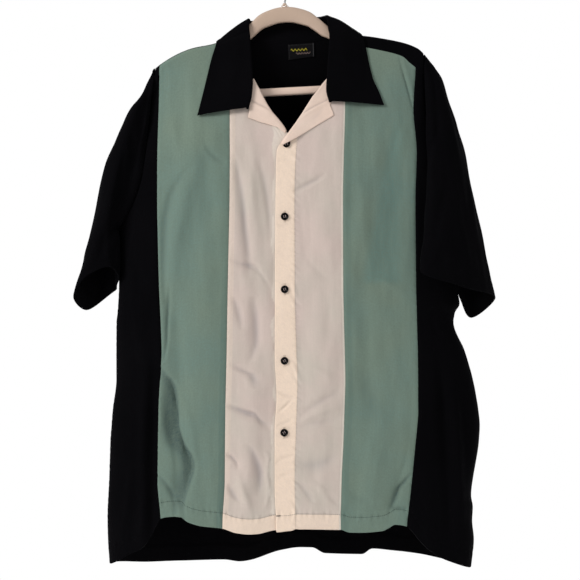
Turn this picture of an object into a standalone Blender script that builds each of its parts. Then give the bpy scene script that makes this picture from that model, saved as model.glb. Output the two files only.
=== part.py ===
"""Bowling shirt with a camp collar, buttoned, hanging flat on a moulded hanger.

Metres, +Z up.  The origin is the inside top of the hanger's hook, where a rail carries it.  The front
faces -Y.  Left and right are the wearer's, so the wearer's left lies at +X.

The body of the shirt is described by its distance from the hanger's plane (y = 0): depth_at() gives it for
any place across (x) and any height (z), for the front (FRONT) and for the back (BACK).  Every panel is a
grid of points on that shape, between two of the seam lines in SEAMS, and Solidify gives it the cloth's
thickness.  The tables are in millimetres and are turned into metres as they are read.
"""

import math

import bpy
import numpy as np
from mathutils import Matrix

MM = 0.001
FRONT = -1
BACK = 1
RIGHT = -1
LEFT = 1

# Driving dimensions
CLOTH = 1.3 * MM                # one layer of the panels, with its seam allowances
LABEL_CLOTH = 1.0 * MM
GAP = 0.5 * MM                  # between pieces that are sewn together
SHOULDER_RADIUS = 8.0 * MM      # cloth over the hanger's arm
FULL_DEPTH = {FRONT: 45.0 * MM, BACK: 43.0 * MM}    # how far the cloth stands off the hanger's plane
SIDE_ROUNDNESS = 4.5            # exponents of the body's section: how late it turns in towards the side,
SHOULDER_ROUNDNESS = 14.0       # and the same in the bend over the shoulder
SPREAD_DROP = 150.0 * MM        # below the shoulder the cloth reaches its full depth over this drop
ARMPIT = -400.0 * MM            # height of the underarm point
OVERLAP_STEP = 4.0 * MM         # the under front lies this far behind the overlapping front
OVERLAP_ACROSS = (-66.0 * MM, -18.0 * MM)       # it goes back over this stretch across
OVERLAP_DOWN = (-200.0 * MM, -256.0 * MM)       # and over this one downward
LAPEL_TUCK = 6.0 * MM           # a front's cut edge lies this far inside the fold of its lapel
TUCK_IN = (-152.0 * MM, -168.0 * MM)            # it gets there over this stretch downward
TUCK_OUT = {"right": (-246.0 * MM, -258.0 * MM), "left": (-262.0 * MM, -276.0 * MM)}    # and back again
FACING_INSIDE = 12.0 * MM       # how far a lapel's facing reaches in behind the front
COLLAR_FOLD = 2.8 * MM          # radius of the collar's fold
COLLAR_BOW = 2.0 * MM           # of its fall between the fold and the edge
LAPEL_BOW = 0.5 * MM            # of a lapel's leaf, less where the leaf is narrower than this:
BOW_WIDTH = 14.0 * MM
STAND_LIFT = 1.1 * MM           # of the collar's sewn edge off the shoulder
LABEL_CORNERS = ((5.2, -114.0), (45.3, -111.4), (6.0, -136.9), (45.9, -131.3))
LABEL_GAP = 0.7 * MM            # between the label and the back it hangs on
LABEL_STRAIGHT = -118.0 * MM    # above this height the label hangs straight, below it it lies on the back
BUTTON_RADIUS = 5.75 * MM
BUTTON_THICKNESS = 2.4 * MM
BUTTON_PLACES = ((3.0, -272.2), (0.3, -381.0), (0.3, -490.0), (0.0, -596.9), (-0.4, -704.3))
HANGER_TILT = math.radians(3.0)     # the wearer's left arm sits higher
HANGER_PIVOT = -60.0 * MM           # height of the point the frame is tilted about
HANGER_THICKNESS = 10.8 * MM
HANGER_SECTION = (0, 45, 75, 105, 135, 180, 225, 255, 285, 315)     # corners, in degrees round it
HANGER_CROWN = 0.85             # exponents of its section: upright, and from front to back
HANGER_CHEEK = 0.5
BAR_HEIGHT = -187.0 * MM        # middle of the trouser bar, in the hanger's own frame
BAR_TALL = 12.0 * MM
BAR_PLACES = (150.0 * MM, 75.0 * MM)
FERRULE_TOP = -52.0 * MM
FERRULE_TALL = 4.6 * MM
FERRULE_RADIUS = 6.4 * MM
FERRULE_DEPTH = 3.9 * MM        # it is oval: its radius from front to back
HOOK_RADIUS = 21.5 * MM         # to the middle of the wire
HOOK_WIRE = 1.6 * MM            # radius of the wire
HOOK_SHANK = ((0.0, -51.6), (0.0, -49.0), (1.6, -45.2), (6.4, -41.0))
HOOK_TURN = (-50.0, 205.0)      # degrees round its middle, from the shank to the end
HOOK_END = (-2.5 * MM, -6.0 * MM)   # last length of wire beyond it


def table(columns, rows):
    """Named columns of a table that is written in millimetres."""
    values = np.array(rows, dtype=float) * MM
    order = np.argsort(values[:, 0])
    return {name: values[order, index] for index, name in enumerate(columns)}


# Seam lines: how far across each one lies, by height.  The sides carry on above the underarm point as the
# line that the armholes are measured from.
SEAMS = table(
    ("height", "right_side", "right_green", "right_white", "left_white", "left_green", "left_side"), (
        (-95.0, -250.0, -191.5, -94.0, 104.0, 203.0, 253.0),
        (-125.0, -251.0, -191.5, -84.0, 95.0, 201.5, 253.5),
        (-160.0, -252.0, -191.5, -81.0, 92.0, 199.5, 254.0),
        (-222.0, -253.0, -191.5, -82.4, 91.0, 195.0, 255.0),
        (-285.0, -254.0, -191.5, -82.0, 89.2, 199.0, 256.0),
        (-356.0, -254.0, -191.5, -82.4, 87.7, 197.1, 257.0),
        (-414.0, -254.0, -190.6, -83.5, 87.9, 197.4, 259.0),
        (-491.0, -254.6, -188.5, -85.1, 88.1, 197.9, 264.6),
        (-512.0, -255.6, -187.4, -85.5, 88.6, 198.4, 268.0),
        (-526.0, -256.6, -186.7, -85.8, 89.0, 198.8, 260.8),
        (-540.0, -258.0, -186.0, -86.0, 89.3, 199.1, 258.4),
        (-583.0, -258.4, -184.7, -86.7, 90.5, 200.2, 275.0),
        (-626.0, -258.2, -187.7, -87.7, 91.3, 200.5, 287.4),
        (-673.0, -263.4, -190.3, -88.7, 90.0, 200.5, 296.2),
        (-700.0, -265.4, -190.9, -89.0, 89.1, 198.8, 298.6),
        (-718.0, -266.6, -191.2, -89.2, 88.5, 197.0, 297.8),
        (-776.0, -268.3, -191.5, -89.6, 85.7, 191.4, 288.8),
        (-806.0, -269.6, -189.0, -91.0, 85.0, 188.0, 285.0),
        (-823.0, -270.6, -187.0, -92.2, 84.6, 185.8, 287.6),
        (-843.0, -271.0, -185.7, -93.0, 84.4, 183.9, 286.5),
        (-873.0, -270.4, -185.2, -93.0, 84.4, 183.3, 289.2),
        (-914.0, -268.0, -185.0, -93.0, 84.4, 183.0, 285.8),
    ))

# How far each armhole lies inside the side line, by height
ARMHOLES = table(("height", "right", "left"), (
    (-400.0, 0.0, 0.0), (-394.0, 5.5, 5.5), (-386.0, 11.0, 11.0), (-360.0, 26.0, 24.0), (-320.0, 39.0, 34.5),
    (-260.0, 46.0, 40.0), (-200.0, 50.0, 42.0), (-155.0, 54.0, 42.0), (-95.0, 55.0, 40.0)))

# Inner edges of the two fronts: the fold of the lapel above the crossing, the front edge below it
FRONT_EDGE = table(("height", "right", "left"), (
    (-95.0, -87.0, 93.0),
    (-120.0, -69.0, 81.0),
    (-145.0, -56.0, 71.0),
    (-171.0, -46.0, 63.6),
    (-188.0, -37.0, 51.0),
    (-210.0, -28.0, 34.0),
    (-225.0, -17.0, 26.5),
    (-240.0, -4.2, 16.6),
    (-255.0, 5.0, 5.8),
    (-264.0, 11.0, -0.7),
    (-269.5, 14.0, -4.6),
    (-276.0, 15.5, -8.8),
    (-283.0, 16.0, -11.0),
    (-300.0, 17.0, -11.9),
    (-356.0, 16.0, -13.0),
    (-491.0, 16.0, -13.8),
    (-592.0, 16.5, -14.0),
    (-650.0, 17.0, -11.3),
    (-704.0, 16.5, -14.2),
    (-776.0, 16.0, -14.2),
    (-860.0, 16.0, -11.2),
))

# Shoulder line of the cloth
SHOULDER = table(("across", "height"), (
    (-290.0, -270.0), (-225.0, -188.0), (-200.0, -154.0), (-180.0, -138.7), (-157.0, -126.5),
    (-140.0, -120.4), (-111.0, -114.6), (-90.0, -107.5), (-74.0, -101.0), (0.0, -97.5), (86.0, -98.8),
    (125.0, -102.2), (150.0, -105.9), (181.0, -112.2), (203.0, -120.6), (213.0, -129.0), (233.0, -150.0),
    (290.0, -230.0)))

# Top edge of the back, as a distance along the cloth from the shoulder line: on the front where it is
# below zero (the shoulder seams), and the back of the neck where it is above
BACK_TOP = table(("across", "along"), (
    (-215.0, -5.0), (-95.0, -5.0), (-88.0, -3.5), (-84.0, 0.0), (-80.0, 5.0), (-76.0, 9.2), (-68.0, 11.0),
    (-60.0, 13.0), (-48.0, 16.0), (-30.0, 17.5), (8.0, 18.0), (50.0, 16.0), (62.0, 13.0), (72.0, 11.2),
    (80.0, 9.2), (84.0, 5.5), (88.0, 0.0), (91.5, -5.5), (96.0, -12.0), (102.0, -18.0), (110.0, -21.5),
    (123.0, -23.4), (164.0, -25.6), (180.0, -27.5), (191.0, -34.0), (202.0, -37.5), (215.0, -38.5)))

# Hems, by how far across
FRONT_HEM = table(("across", "height"), (
    (-269.0, -909.0), (-254.0, -901.0), (-234.0, -888.6), (-213.0, -877.5), (-202.0, -863.0),
    (-194.0, -846.0), (-185.0, -833.0), (-165.0, -830.0), (-155.0, -830.6), (-148.0, -836.6),
    (-138.0, -840.6), (-126.0, -843.8), (-93.5, -847.7), (-72.5, -854.5), (-51.6, -856.6), (-39.6, -856.0),
    (-12.0, -850.5), (5.0, -851.2), (20.0, -848.6), (84.0, -849.6), (98.0, -853.5), (114.5, -853.8),
    (146.0, -851.5), (157.0, -846.8), (165.0, -842.0), (182.4, -844.5), (191.0, -852.0), (203.5, -868.0),
    (219.0, -882.6), (235.0, -893.0), (259.4, -903.5), (285.5, -914.0)))
BACK_HEM = table(("across", "height"), (
    (-269.0, -909.0), (-209.5, -914.0), (-159.0, -913.4), (-95.0, -912.0), (-70.0, -915.0),
    (-57.5, -913.6), (-6.0, -897.2), (24.0, -892.8), (43.0, -893.2), (63.0, -902.2), (121.0, -903.6),
    (137.0, -894.8), (166.0, -897.2), (211.0, -902.0), (247.0, -908.6), (285.5, -914.0)))

# Largest folds of the body.  Each runs from its top to its bottom and fades out at both; a depth above zero
# stands out of the shirt, and one below zero is a trough.
FRONT_FOLDS = table(
    ("top", "top_across", "bottom", "bottom_across", "width", "depth"), (
        (-560.0, -197.0, -905.0, -200.0, 6.0, -7.0),
        (-600.0, -210.0, -905.0, -215.0, 8.0, 6.0),
        (-560.0, 230.0, -900.0, 251.0, 9.0, -10.0),
        (-590.0, 252.0, -850.0, 272.0, 8.0, 7.0),
        (-180.0, -122.0, -460.0, -178.0, 18.0, 3.0),
        (-470.0, -166.0, -700.0, -150.0, 12.0, -3.5),
        (-620.0, -176.0, -830.0, -158.0, 9.0, -4.0),
        (-250.0, 165.0, -520.0, 150.0, 26.0, -4.0),
        (-640.0, 150.0, -850.0, 120.0, 20.0, 3.5),
        (-480.0, 60.0, -760.0, 44.0, 20.0, 2.5),
        (-560.0, -40.0, -830.0, -60.0, 18.0, 2.5),
    ))
BACK_FOLDS = table(
    ("top", "top_across", "bottom", "bottom_across", "width", "depth"), (
        (-180.0, -150.0, -560.0, -175.0, 14.0, -6.0),
        (-210.0, 160.0, -620.0, 190.0, 15.0, -7.0),
        (-160.0, -60.0, -800.0, -84.0, 24.0, 5.0),
        (-420.0, 40.0, -910.0, 60.0, 26.0, 6.0),
        (-500.0, -190.0, -905.0, -215.0, 13.0, -8.0),
        (-560.0, 130.0, -905.0, 128.0, 16.0, -7.0),
        (-640.0, -16.0, -905.0, -30.0, 15.0, -5.0),
    ))

# Sleeves, row after row from the shoulder to the cuff.  A row starts on the front edge of the armhole and
# runs forward (tuck, inner, ridge), over the front of the sleeve, round its outer edge and along its back
# (rear) to the back edge.  Above the underarm point only the height of a row's ends is used, as they lie on
# the armhole; below it both ends are the one point given.
SLEEVE_POINTS = ("end", "tuck", "inner", "ridge", "front", "outer", "rear")
SLEEVE_COLUMNS = ("row", *(f"{point}_{axis}" for point in SLEEVE_POINTS for axis in "xyz"))
SLEEVES = {
    RIGHT: table(SLEEVE_COLUMNS, (
        (1, -198, -13, -174, -200, -13, -174, -203, -13, -174, -206, -12.5, -174, -208, -9, -174,
         -210.5, 0, -176, -207, 10, -176),
        (2, -200, -17, -187, -202, -17.5, -187, -206, -19, -188, -211, -20, -189, -217, -16, -194,
         -221, 0, -202, -214, 16, -196),
        (3, -202, -22, -205, -205, -23, -206, -211, -26, -207, -219, -30, -209, -232, -26, -217,
         -243.2, 0, -232, -227, 24, -220),
        (4, -204, -29, -240, -209, -31, -241, -219, -34, -243, -231, -39, -246, -245, -35, -253,
         -257, 0, -267, -238, 29, -254),
        (5, -208, -33, -280, -216, -35, -281, -228, -38, -283, -241, -45, -286, -259, -40, -294,
         -274.2, 0, -307, -249, 31, -294),
        (6, -215, -33, -320, -225, -36, -321, -238, -38, -323, -252, -47, -326, -268, -42, -336,
         -283, 0, -350, -257, 31, -337),
        (7, -225, -31, -350, -235, -34, -351, -246, -36, -353, -258, -46, -356, -275, -41, -369,
         -291, 0, -388, -263, 29, -375),
        (8, -238, -27, -377, -245, -30, -377, -252, -33, -379, -262, -44, -383, -280, -41, -396,
         -298.5, 0, -420, -273, 27, -404),
        (9, -250, -20, -391, -254, -24, -391, -258, -28, -394, -264, -41, -400, -283, -40, -411,
         -303, 2, -438, -281, 28, -427),
        (10, -257.5, 0, -400, -257.5, -13, -402, -257, -24, -408, -264, -38, -415, -286, -39, -427,
         -306.5, 2, -456, -284, 28, -447),
        (11, -259.5, 3, -440, -258, -11, -438, -255, -24, -437, -261, -37, -437, -291, -38, -447,
         -314.6, -2, -482, -285, 25, -482),
        (12, -257.6, 6, -487, -256, -9, -482, -252.5, -24, -472, -259, -37, -457, -302, -31, -472,
         -322.3, -3, -506, -309, 19, -521),
    )),
    LEFT: table(SLEEVE_COLUMNS, (
        (1, 213, -13, -150, 214.5, -13, -150, 216, -13, -150, 219, -12.5, -150, 224, -9, -150,
         229, 0, -148, 224, 10, -150),
        (2, 213, -17, -168, 214, -18, -168, 215.5, -19.5, -168, 219, -21, -168, 230, -17, -168,
         239.6, 0, -166, 231, 16, -169),
        (3, 213, -22, -198, 213, -25, -198, 213, -29, -198, 217, -33, -198, 234, -30, -198,
         250.2, 0, -199, 235, 25, -200),
        (4, 214, -30, -238, 213, -34, -238, 213, -39, -238, 218, -44, -238, 243, -40, -240,
         264, -1, -241, 243, 31, -240),
        (5, 217, -34, -282, 214, -41, -282, 213, -48, -283, 219, -54, -283, 249, -50, -287,
         276.2, -2, -288, 250, 33, -284),
        (6, 223, -33, -322, 217, -42, -322, 212, -51, -323, 217, -61, -325, 252, -58, -332,
         285, -4, -334, 257, 31, -328),
        (7, 231, -31, -350, 222, -42, -351, 211, -54, -352, 214, -65, -354, 254, -64, -364,
         291.6, -5, -368, 264, 27, -362),
        (8, 242, -26, -376, 232, -40, -377, 208, -57, -380, 210, -69, -384, 256, -70, -397,
         299, -6, -405, 271, 22, -394),
        (9, 253, -18, -391, 246, -38, -393, 207, -60, -402, 207, -72, -408, 257, -73, -425,
         305.6, -7, -437, 276, 20, -420),
        (10, 261.5, 0, -400, 256, -30, -402, 206, -61, -416, 204, -73, -424, 257, -76, -440,
         308.8, -7, -455, 280, 19, -444),
        (11, 265.5, 0, -440, 257, -34, -430, 204, -63, -434, 201, -76, -443, 257, -78, -462,
         313.6, -8, -482, 285, 18, -486),
        (12, 268.5, 0, -488, 257, -36, -462, 203, -66, -454, 199, -78, -461, 257, -79, -484,
         319.8, -8, -507, 286, 16, -533),
    )),
}

# Collar on the fronts, from its end up to the shoulder.  Each row has the line it is sewn on (stand), the
# line it folds on and its outer edge, and each of the three has its height, its place across and how far it
# lies off the cloth.
COLLAR_COLUMNS = ("stand_z", "stand_x", "stand_off", "fold_z", "fold_x", "fold_off",
                  "edge_z", "edge_x", "edge_off")
COLLAR_FRONTS = {
    RIGHT: table(COLLAR_COLUMNS, (
        (-214.0, -60.0, 3.6, -219.5, -54.0, 6.4, -229.0, -130.6, 4.5),
        (-199.0, -56.0, 3.6, -199.0, -49.0, 6.4, -202.0, -125.0, 2.6),
        (-176.0, -54.0, 3.4, -172.0, -47.5, 6.4, -166.0, -117.5, 2.4),
        (-146.0, -57.0, 1.4, -141.0, -49.5, 6.0, -136.0, -110.5, 2.4),
        (-121.0, -68.0, 1.2, -108.0, -52.0, 9.0, -121.5, -106.0, 2.6),
        (-111.0, -74.5, 1.2, -97.0, -53.0, 10.5, -116.0, -104.8, 3.2),
        (-104.5, -80.0, 1.2, -87.0, -54.0, 10.0, -110.5, -104.2, 4.4),
    )),
    LEFT: table(COLLAR_COLUMNS, (
        (-204.0, 76.0, 3.6, -209.0, 66.5, 6.4, -213.0, 149.4, 4.6),
        (-190.0, 72.0, 3.6, -189.0, 62.5, 6.4, -192.0, 142.5, 2.6),
        (-170.0, 71.0, 3.4, -165.0, 64.0, 6.4, -171.0, 134.0, 2.4),
        (-143.0, 72.0, 1.4, -138.0, 66.0, 6.0, -144.0, 128.0, 2.4),
        (-119.0, 81.0, 1.2, -104.0, 68.0, 9.5, -122.0, 124.0, 2.6),
        (-109.0, 87.0, 1.8, -91.0, 66.0, 10.5, -112.0, 121.4, 3.4),
    )),
}
# Round the neck, by how far across the line it is sewn on lies
COLLAR_NECK = table(("across", "fold_x", "fold_y", "fold_z", "edge_x", "edge_y", "edge_z"), (
    (-84.0, -53.2, -3.0, -77.6, -103.2, -3.0, -110.0),
    (-80.0, -53.2, 3.5, -75.4, -101.5, 6.5, -110.4),
    (-75.0, -52.5, 9.0, -76.5, -97.0, 12.0, -117.0),
    (-60.0, -46.0, 14.0, -75.5, -84.0, 15.5, -133.0),
    (-36.0, -31.0, 17.5, -73.0, -58.0, 18.0, -143.0),
    (-10.0, -8.0, 20.0, -70.5, -20.0, 20.0, -148.0),
    (18.0, 16.0, 20.0, -70.0, 24.0, 20.0, -148.5),
    (44.0, 38.0, 18.5, -70.0, 65.0, 18.5, -144.0),
    (65.0, 51.0, 14.5, -69.6, 94.0, 16.5, -131.0),
    (80.0, 58.5, 8.5, -69.8, 109.5, 12.5, -112.0),
    (84.0, 61.5, 4.0, -70.2, 114.2, 6.5, -99.9),
    (88.0, 63.0, -1.5, -71.5, 116.4, -2.0, -98.9),
    (91.5, 64.5, -8.0, -76.5, 119.0, -9.7, -104.0),
))

# Lapels, from the top of the fold down to the crossing: the fold, the outer edge and how far the turned-out
# leaf lies off the front (the lowest rows of the left one pass over the top button)
LAPEL_COLUMNS = ("fold_z", "fold_x", "edge_z", "edge_x", "off")
LAPELS = {
    RIGHT: table(LAPEL_COLUMNS, (
        (-171.0, -46.0, -174.0, -58.0, 2.0), (-180.0, -41.5, -190.0, -60.0, 2.0),
        (-188.0, -37.0, -204.0, -56.0, 2.0), (-200.0, -31.5, -218.0, -52.2, 2.0),
        (-211.0, -26.0, -232.0, -54.4, 2.0), (-223.5, -18.0, -239.4, -36.0, 2.0),
        (-234.5, -8.5, -243.8, -20.0, 2.0), (-242.2, -2.5, -247.3, -10.0, 2.0),
        (-247.3, 1.0, -251.3, -5.0, 2.0), (-252.4, 3.4, -255.0, 0.0, 2.0),
    )),
    LEFT: table(LAPEL_COLUMNS, (
        (-171.0, 63.6, -174.0, 72.0, 2.0), (-180.0, 56.3, -190.0, 73.0, 2.0),
        (-190.0, 49.5, -204.0, 70.0, 2.0), (-199.5, 42.0, -213.5, 68.4, 2.0),
        (-211.0, 35.0, -229.0, 74.0, 2.0), (-225.0, 26.5, -243.5, 50.0, 2.0),
        (-240.0, 16.6, -256.0, 30.0, 2.4), (-254.3, 6.4, -264.8, 15.0, 4.2),
        (-262.4, 0.5, -269.3, 6.6, 5.2), (-268.4, -3.8, -272.2, 0.6, 5.0),
        (-271.2, -5.8, -274.0, -2.2, 4.0),
    )),
}

# Hanger's arm from its middle outward: its upper edge and its height, in the hanger's own frame
HANGER_ARM = table(("across", "top", "tall"), (
    (0.0, -57.2, 24.0), (12.0, -58.6, 23.6), (24.0, -61.6, 24.0), (36.0, -66.4, 24.2), (46.0, -73.8, 24.2),
    (57.0, -83.6, 23.6), (69.0, -96.5, 16.0), (81.0, -106.2, 14.5), (96.0, -108.4, 15.0),
    (118.0, -112.6, 15.5), (147.0, -117.6, 15.5), (165.0, -123.2, 15.0), (180.0, -130.6, 14.0),
    (190.0, -138.0, 13.0)))
# Middle of the bend from the arm's end to the trouser bar
HANGER_BEND = ((199.0, -150.0), (203.0, -160.0), (203.5, -170.0), (199.0, -180.0), (189.0, -186.0))

# Columns of the back across the neck, where the collar is sewn on point for point
NECK_COLUMNS = (-88.0, -84.0, -80.0, -75.0, -60.0, -36.0, -10.0, 18.0, 44.0, 65.0, 80.0, 84.0, 88.0, 91.5,
                98.0)


def smooth_value(keys, values, at):
    """Value on a smooth curve through a column of a table; it never swings past its rows."""
    at = np.clip(np.asarray(at, dtype=float), keys[0], keys[-1])
    step = np.diff(keys)
    slope = np.diff(values) / step
    before, after = slope[:-1], slope[1:]
    same_way = before * after > 0
    total = np.where(same_way, before + after, 1.0)
    tangent = np.concatenate(([slope[0]], np.where(same_way, 2 * before * after / total, 0.0), [slope[-1]]))
    row = np.clip(np.searchsorted(keys, at) - 1, 0, len(step) - 1)
    part = (at - keys[row]) / step[row]
    rest = 1 - part
    return (rest * rest * ((1 + 2 * part) * values[row] + part * step[row] * tangent[row])
            + part * part * ((3 - 2 * part) * values[row + 1] - rest * step[row] * tangent[row + 1]))


def read(source, column, at):
    keys = next(iter(source.values()))
    return smooth_value(keys, source[column], at)


def ease(value):
    """Smooth step from 0 to 1."""
    value = np.clip(value, 0.0, 1.0)
    return value * value * (3 - 2 * value)


def ramp(value, span):
    """0 at the first end of a span and 1 at the other, smoothly."""
    start, end = span
    return ease((value - start) / (end - start))


def side_at(side, height):
    """Side seam below the underarm point, armhole above it."""
    name = "right" if side == RIGHT else "left"
    return read(SEAMS, f"{name}_side", height) - side * read(ARMHOLES, name, height)


def drop_along(along):
    """Drop below the shoulder line at a distance along the cloth from it."""
    quarter = SHOULDER_RADIUS * math.pi / 2
    bend = SHOULDER_RADIUS * (1 - np.cos(np.minimum(along, quarter) / SHOULDER_RADIUS))
    return bend + np.maximum(along - quarter, 0.0)


def along_drop(drop):
    """Distance along the cloth at a drop below the shoulder line."""
    quarter = SHOULDER_RADIUS * math.pi / 2
    bend = SHOULDER_RADIUS * np.arccos(1 - np.minimum(drop / SHOULDER_RADIUS, 1.0))
    return np.where(drop < SHOULDER_RADIUS, bend, quarter + drop - SHOULDER_RADIUS)


def fold_depth(face, x, z):
    """Largest folds of the front or the back, summed."""
    folds = FRONT_FOLDS if face == FRONT else BACK_FOLDS
    total = 0.0
    for top, top_x, bottom, bottom_x, width, depth in zip(*folds.values()):
        part = (top - z) / (top - bottom)
        middle = top_x + (bottom_x - top_x) * part
        envelope = ease(part * 3) * ease((1 - part) * 4)
        total = total + depth * envelope * np.exp(-((x - middle) / width) ** 2)
    return total


def depth_at(face, x, z):
    """How far the cloth's outer side lies from the hanger's plane."""
    drop = np.maximum(read(SHOULDER, "height", x) - z, 0.0)
    right, left = read(SEAMS, "right_side", z), read(SEAMS, "left_side", z)
    across = np.minimum(np.abs(2 * x - left - right) / (left - right), 1.0)
    bend = SHOULDER_RADIUS * np.sqrt(1 - (1 - np.minimum(drop / SHOULDER_RADIUS, 1.0)) ** 2)
    swell = (FULL_DEPTH[face] - SHOULDER_RADIUS) * ease((drop - SHOULDER_RADIUS) / SPREAD_DROP)
    spread = (swell + fold_depth(face, x, z)) * np.sqrt(1 - across ** SIDE_ROUNDNESS)
    return bend * np.sqrt(1 - across ** SHOULDER_ROUNDNESS) + spread + GAP / 2


def on_cloth(face, x, z, off=0.0):
    """Point on the body's outer side, moved off it; off below zero is inside the shirt."""
    return np.array((x, face * (depth_at(face, x, z) + off), z))


def make_material(name, color, roughness, metallic=0.0):
    material = bpy.data.materials.new(name)
    material.use_nodes = True
    shader = material.node_tree.nodes["Principled BSDF"]
    shader.inputs["Base Color"].default_value = (*color, 1.0)
    shader.inputs["Roughness"].default_value = roughness
    shader.inputs["Metallic"].default_value = metallic
    return material


def make_object(name, mesh, material, collection):
    item = bpy.data.objects.new(name, mesh)
    collection.objects.link(item)
    mesh.materials.append(material)
    mesh.shade_smooth()
    mesh.set_sharp_from_angle(angle=math.radians(50))
    return item


def grid_faces(names):
    """Quads over a grid of point numbers."""
    corners = names[:-1, :-1], names[:-1, 1:], names[1:, 1:], names[1:, :-1]
    return np.stack(corners, axis=-1).reshape(-1, 4).tolist()


def make_sheet(name, grid, material, collection, thickness=CLOTH, names=None, flip=False):
    """Cloth of even thickness under a grid of points on its outer side; where two points of the grid are one
    and the same, names gives them one number."""
    rows, columns = grid.shape[:2]
    if names is None:
        names = np.arange(rows * columns).reshape(rows, columns)
    used, numbers = np.unique(names, return_inverse=True)
    faces = grid_faces(numbers.reshape(rows, columns))
    if flip:
        faces = [face[::-1] for face in faces]
    mesh = bpy.data.meshes.new(name)
    mesh.from_pydata(grid.reshape(-1, 3)[used].tolist(), [], faces)
    item = make_object(name, mesh, material, collection)
    solidify = item.modifiers.new("cloth", "SOLIDIFY")
    solidify.thickness = thickness
    solidify.offset = -1.0
    return item


# ---------------------------------------------------------------------------------------------- body panels

# Rows of a panel: over the shoulder's bend, from there to the underarm point, and on to the hem
BEND_STEPS = {FRONT: 4, BACK: 9}
WRAP_STEPS = 2                  # of the back's, those on the flat before the bend
SWELL_ROWS = (0.0, 0.035, 0.08, 0.13, 0.18, 0.23, 0.28, 0.33, 0.39, 0.455, 0.525)
ARMPIT_ROWS = (0.62, 0.72, 0.82, 0.90, 0.96, 1.0)
UPPER_ROWS = np.array(SWELL_ROWS + ARMPIT_ROWS)
UPPER_STEPS = len(UPPER_ROWS) - 1
LOWER_STEPS = 8
SIDE_COLUMNS = 7
PAST_EDGE = 8.0 * MM            # the rows of the bend reach at least this far past the panel's top edge
FIRST_HEIGHT = -300.0 * MM      # to begin with, when the heights of a column are worked out


def seam(name, inset=0.0):
    """A seam line as a function of height, or a line beside it."""
    return lambda z: read(SEAMS, name, z) + inset


def front_edge(name, tuck):
    """A front's cut edge, which lies inside the fold line where there is a lapel."""
    return lambda z: (read(FRONT_EDGE, name, z)
                      + tuck * ramp(z, TUCK_IN) * (1 - ramp(z, TUCK_OUT[name])))


def rim(side):
    return lambda z: side_at(side, z)


def upright(across):
    return lambda z: np.full_like(z, across)


def rows_along(face, start, reach):
    """Distances of a column's upper rows from the shoulder line: close together over the bend."""
    quarter = SHOULDER_RADIUS * math.pi / 2
    bend = max(quarter, start + PAST_EDGE)
    if start < -quarter:
        flat = start + (-quarter - start) * even(WRAP_STEPS + 1)[:-1]
        round_top = -quarter + 2 * quarter * even(BEND_STEPS[face] - WRAP_STEPS + 1)[:-1]
        first = np.concatenate((flat, round_top))
    else:
        first = start + (bend - start) * even(BEND_STEPS[face] + 1)[:-1] ** 1.3
    return np.concatenate((first, bend + (reach - bend) * UPPER_ROWS))


def body_column(face, first, last, split):
    """Points of one column, from the top of the panel to its hem."""
    hem = FRONT_HEM if face == FRONT else BACK_HEM
    bend = BEND_STEPS[face]
    upper_count = bend + UPPER_STEPS + 1
    z = np.full(upper_count + LOWER_STEPS, FIRST_HEIGHT)
    for _ in range(6):
        x = first(z) + (last(z) - first(z)) * split
        top = float(read(BACK_TOP, "along", x[0]))
        start = (top if face == BACK else max(-top, 0.0)) + GAP / 2
        shoulder = read(SHOULDER, "height", np.concatenate((x[:bend], np.full(len(x) - bend, x[bend]))))
        along = rows_along(face, start, float(along_drop(shoulder[upper_count - 1] - ARMPIT)))
        upper = shoulder[:upper_count] - drop_along(np.abs(along))
        lower = ARMPIT + (read(hem, "height", x[upper_count:]) - ARMPIT) * even(LOWER_STEPS + 1)[1:]
        z = np.concatenate((upper, lower))
    y = face * depth_at(face, x, z)
    wrapped = np.concatenate((along < 0, np.zeros(LOWER_STEPS, dtype=bool)))
    y = np.where(wrapped, -face * depth_at(-face, x, z), y)
    return np.column_stack((x, y, z))


def body_grid(face, stretches):
    """Points of a panel, from its stretches: (edge, edge, splits), with the columns' places between the
    two edges as parts of the way across."""
    columns = [body_column(face, first, last, split)
               for first, last, splits in stretches for split in splits]
    return np.stack(columns, axis=1)


def even(count):
    return np.linspace(0.0, 1.0, count)


def toward_side(count):
    """Columns that crowd towards the side, where the cloth turns round to the other face."""
    return 1 - (1 - even(count)) ** 3


def side_stretch(side, face):
    """The strip from the green panel's seam to the side, in order from -X to +X."""
    inset = GAP / 2 if face == FRONT else 0.0
    if side == RIGHT:
        return rim(RIGHT), seam("right_green", -inset), 1 - toward_side(SIDE_COLUMNS)[::-1]
    return seam("left_green", inset), rim(LEFT), toward_side(SIDE_COLUMNS)


def under_step(x, z):
    """How far the under front is set back where the other front lies over it."""
    return OVERLAP_STEP * ramp(x, OVERLAP_ACROSS) * ramp(z, OVERLAP_DOWN)


def build_fronts(collection, cloths):
    half = GAP / 2
    green_right = seam("right_green", half), seam("right_white", -half), even(6)
    white_right = seam("right_white", half), front_edge("right", -LAPEL_TUCK), even(7)
    white_left = front_edge("left", LAPEL_TUCK), seam("left_white", -half), even(8)
    green_left = seam("left_white", half), seam("left_green", -half), even(7)
    pieces = (
        ("front_right_side", side_stretch(RIGHT, FRONT), "black"),
        ("front_right_green", green_right, "green"),
        ("front_right_white", white_right, "white"),
        ("front_left_white", white_left, "white"),
        ("front_left_green", green_left, "green"),
        ("front_left_side", side_stretch(LEFT, FRONT), "black"),
    )
    grids = {}
    for name, stretch, cloth in pieces:
        grid = body_grid(FRONT, [stretch])
        if name == "front_right_white":
            grid[:, :, 1] += under_step(grid[:, :, 0], grid[:, :, 2])
        grids[name] = grid
        make_sheet(name, grid, cloths[cloth], collection, flip=True)
    return grids


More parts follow.
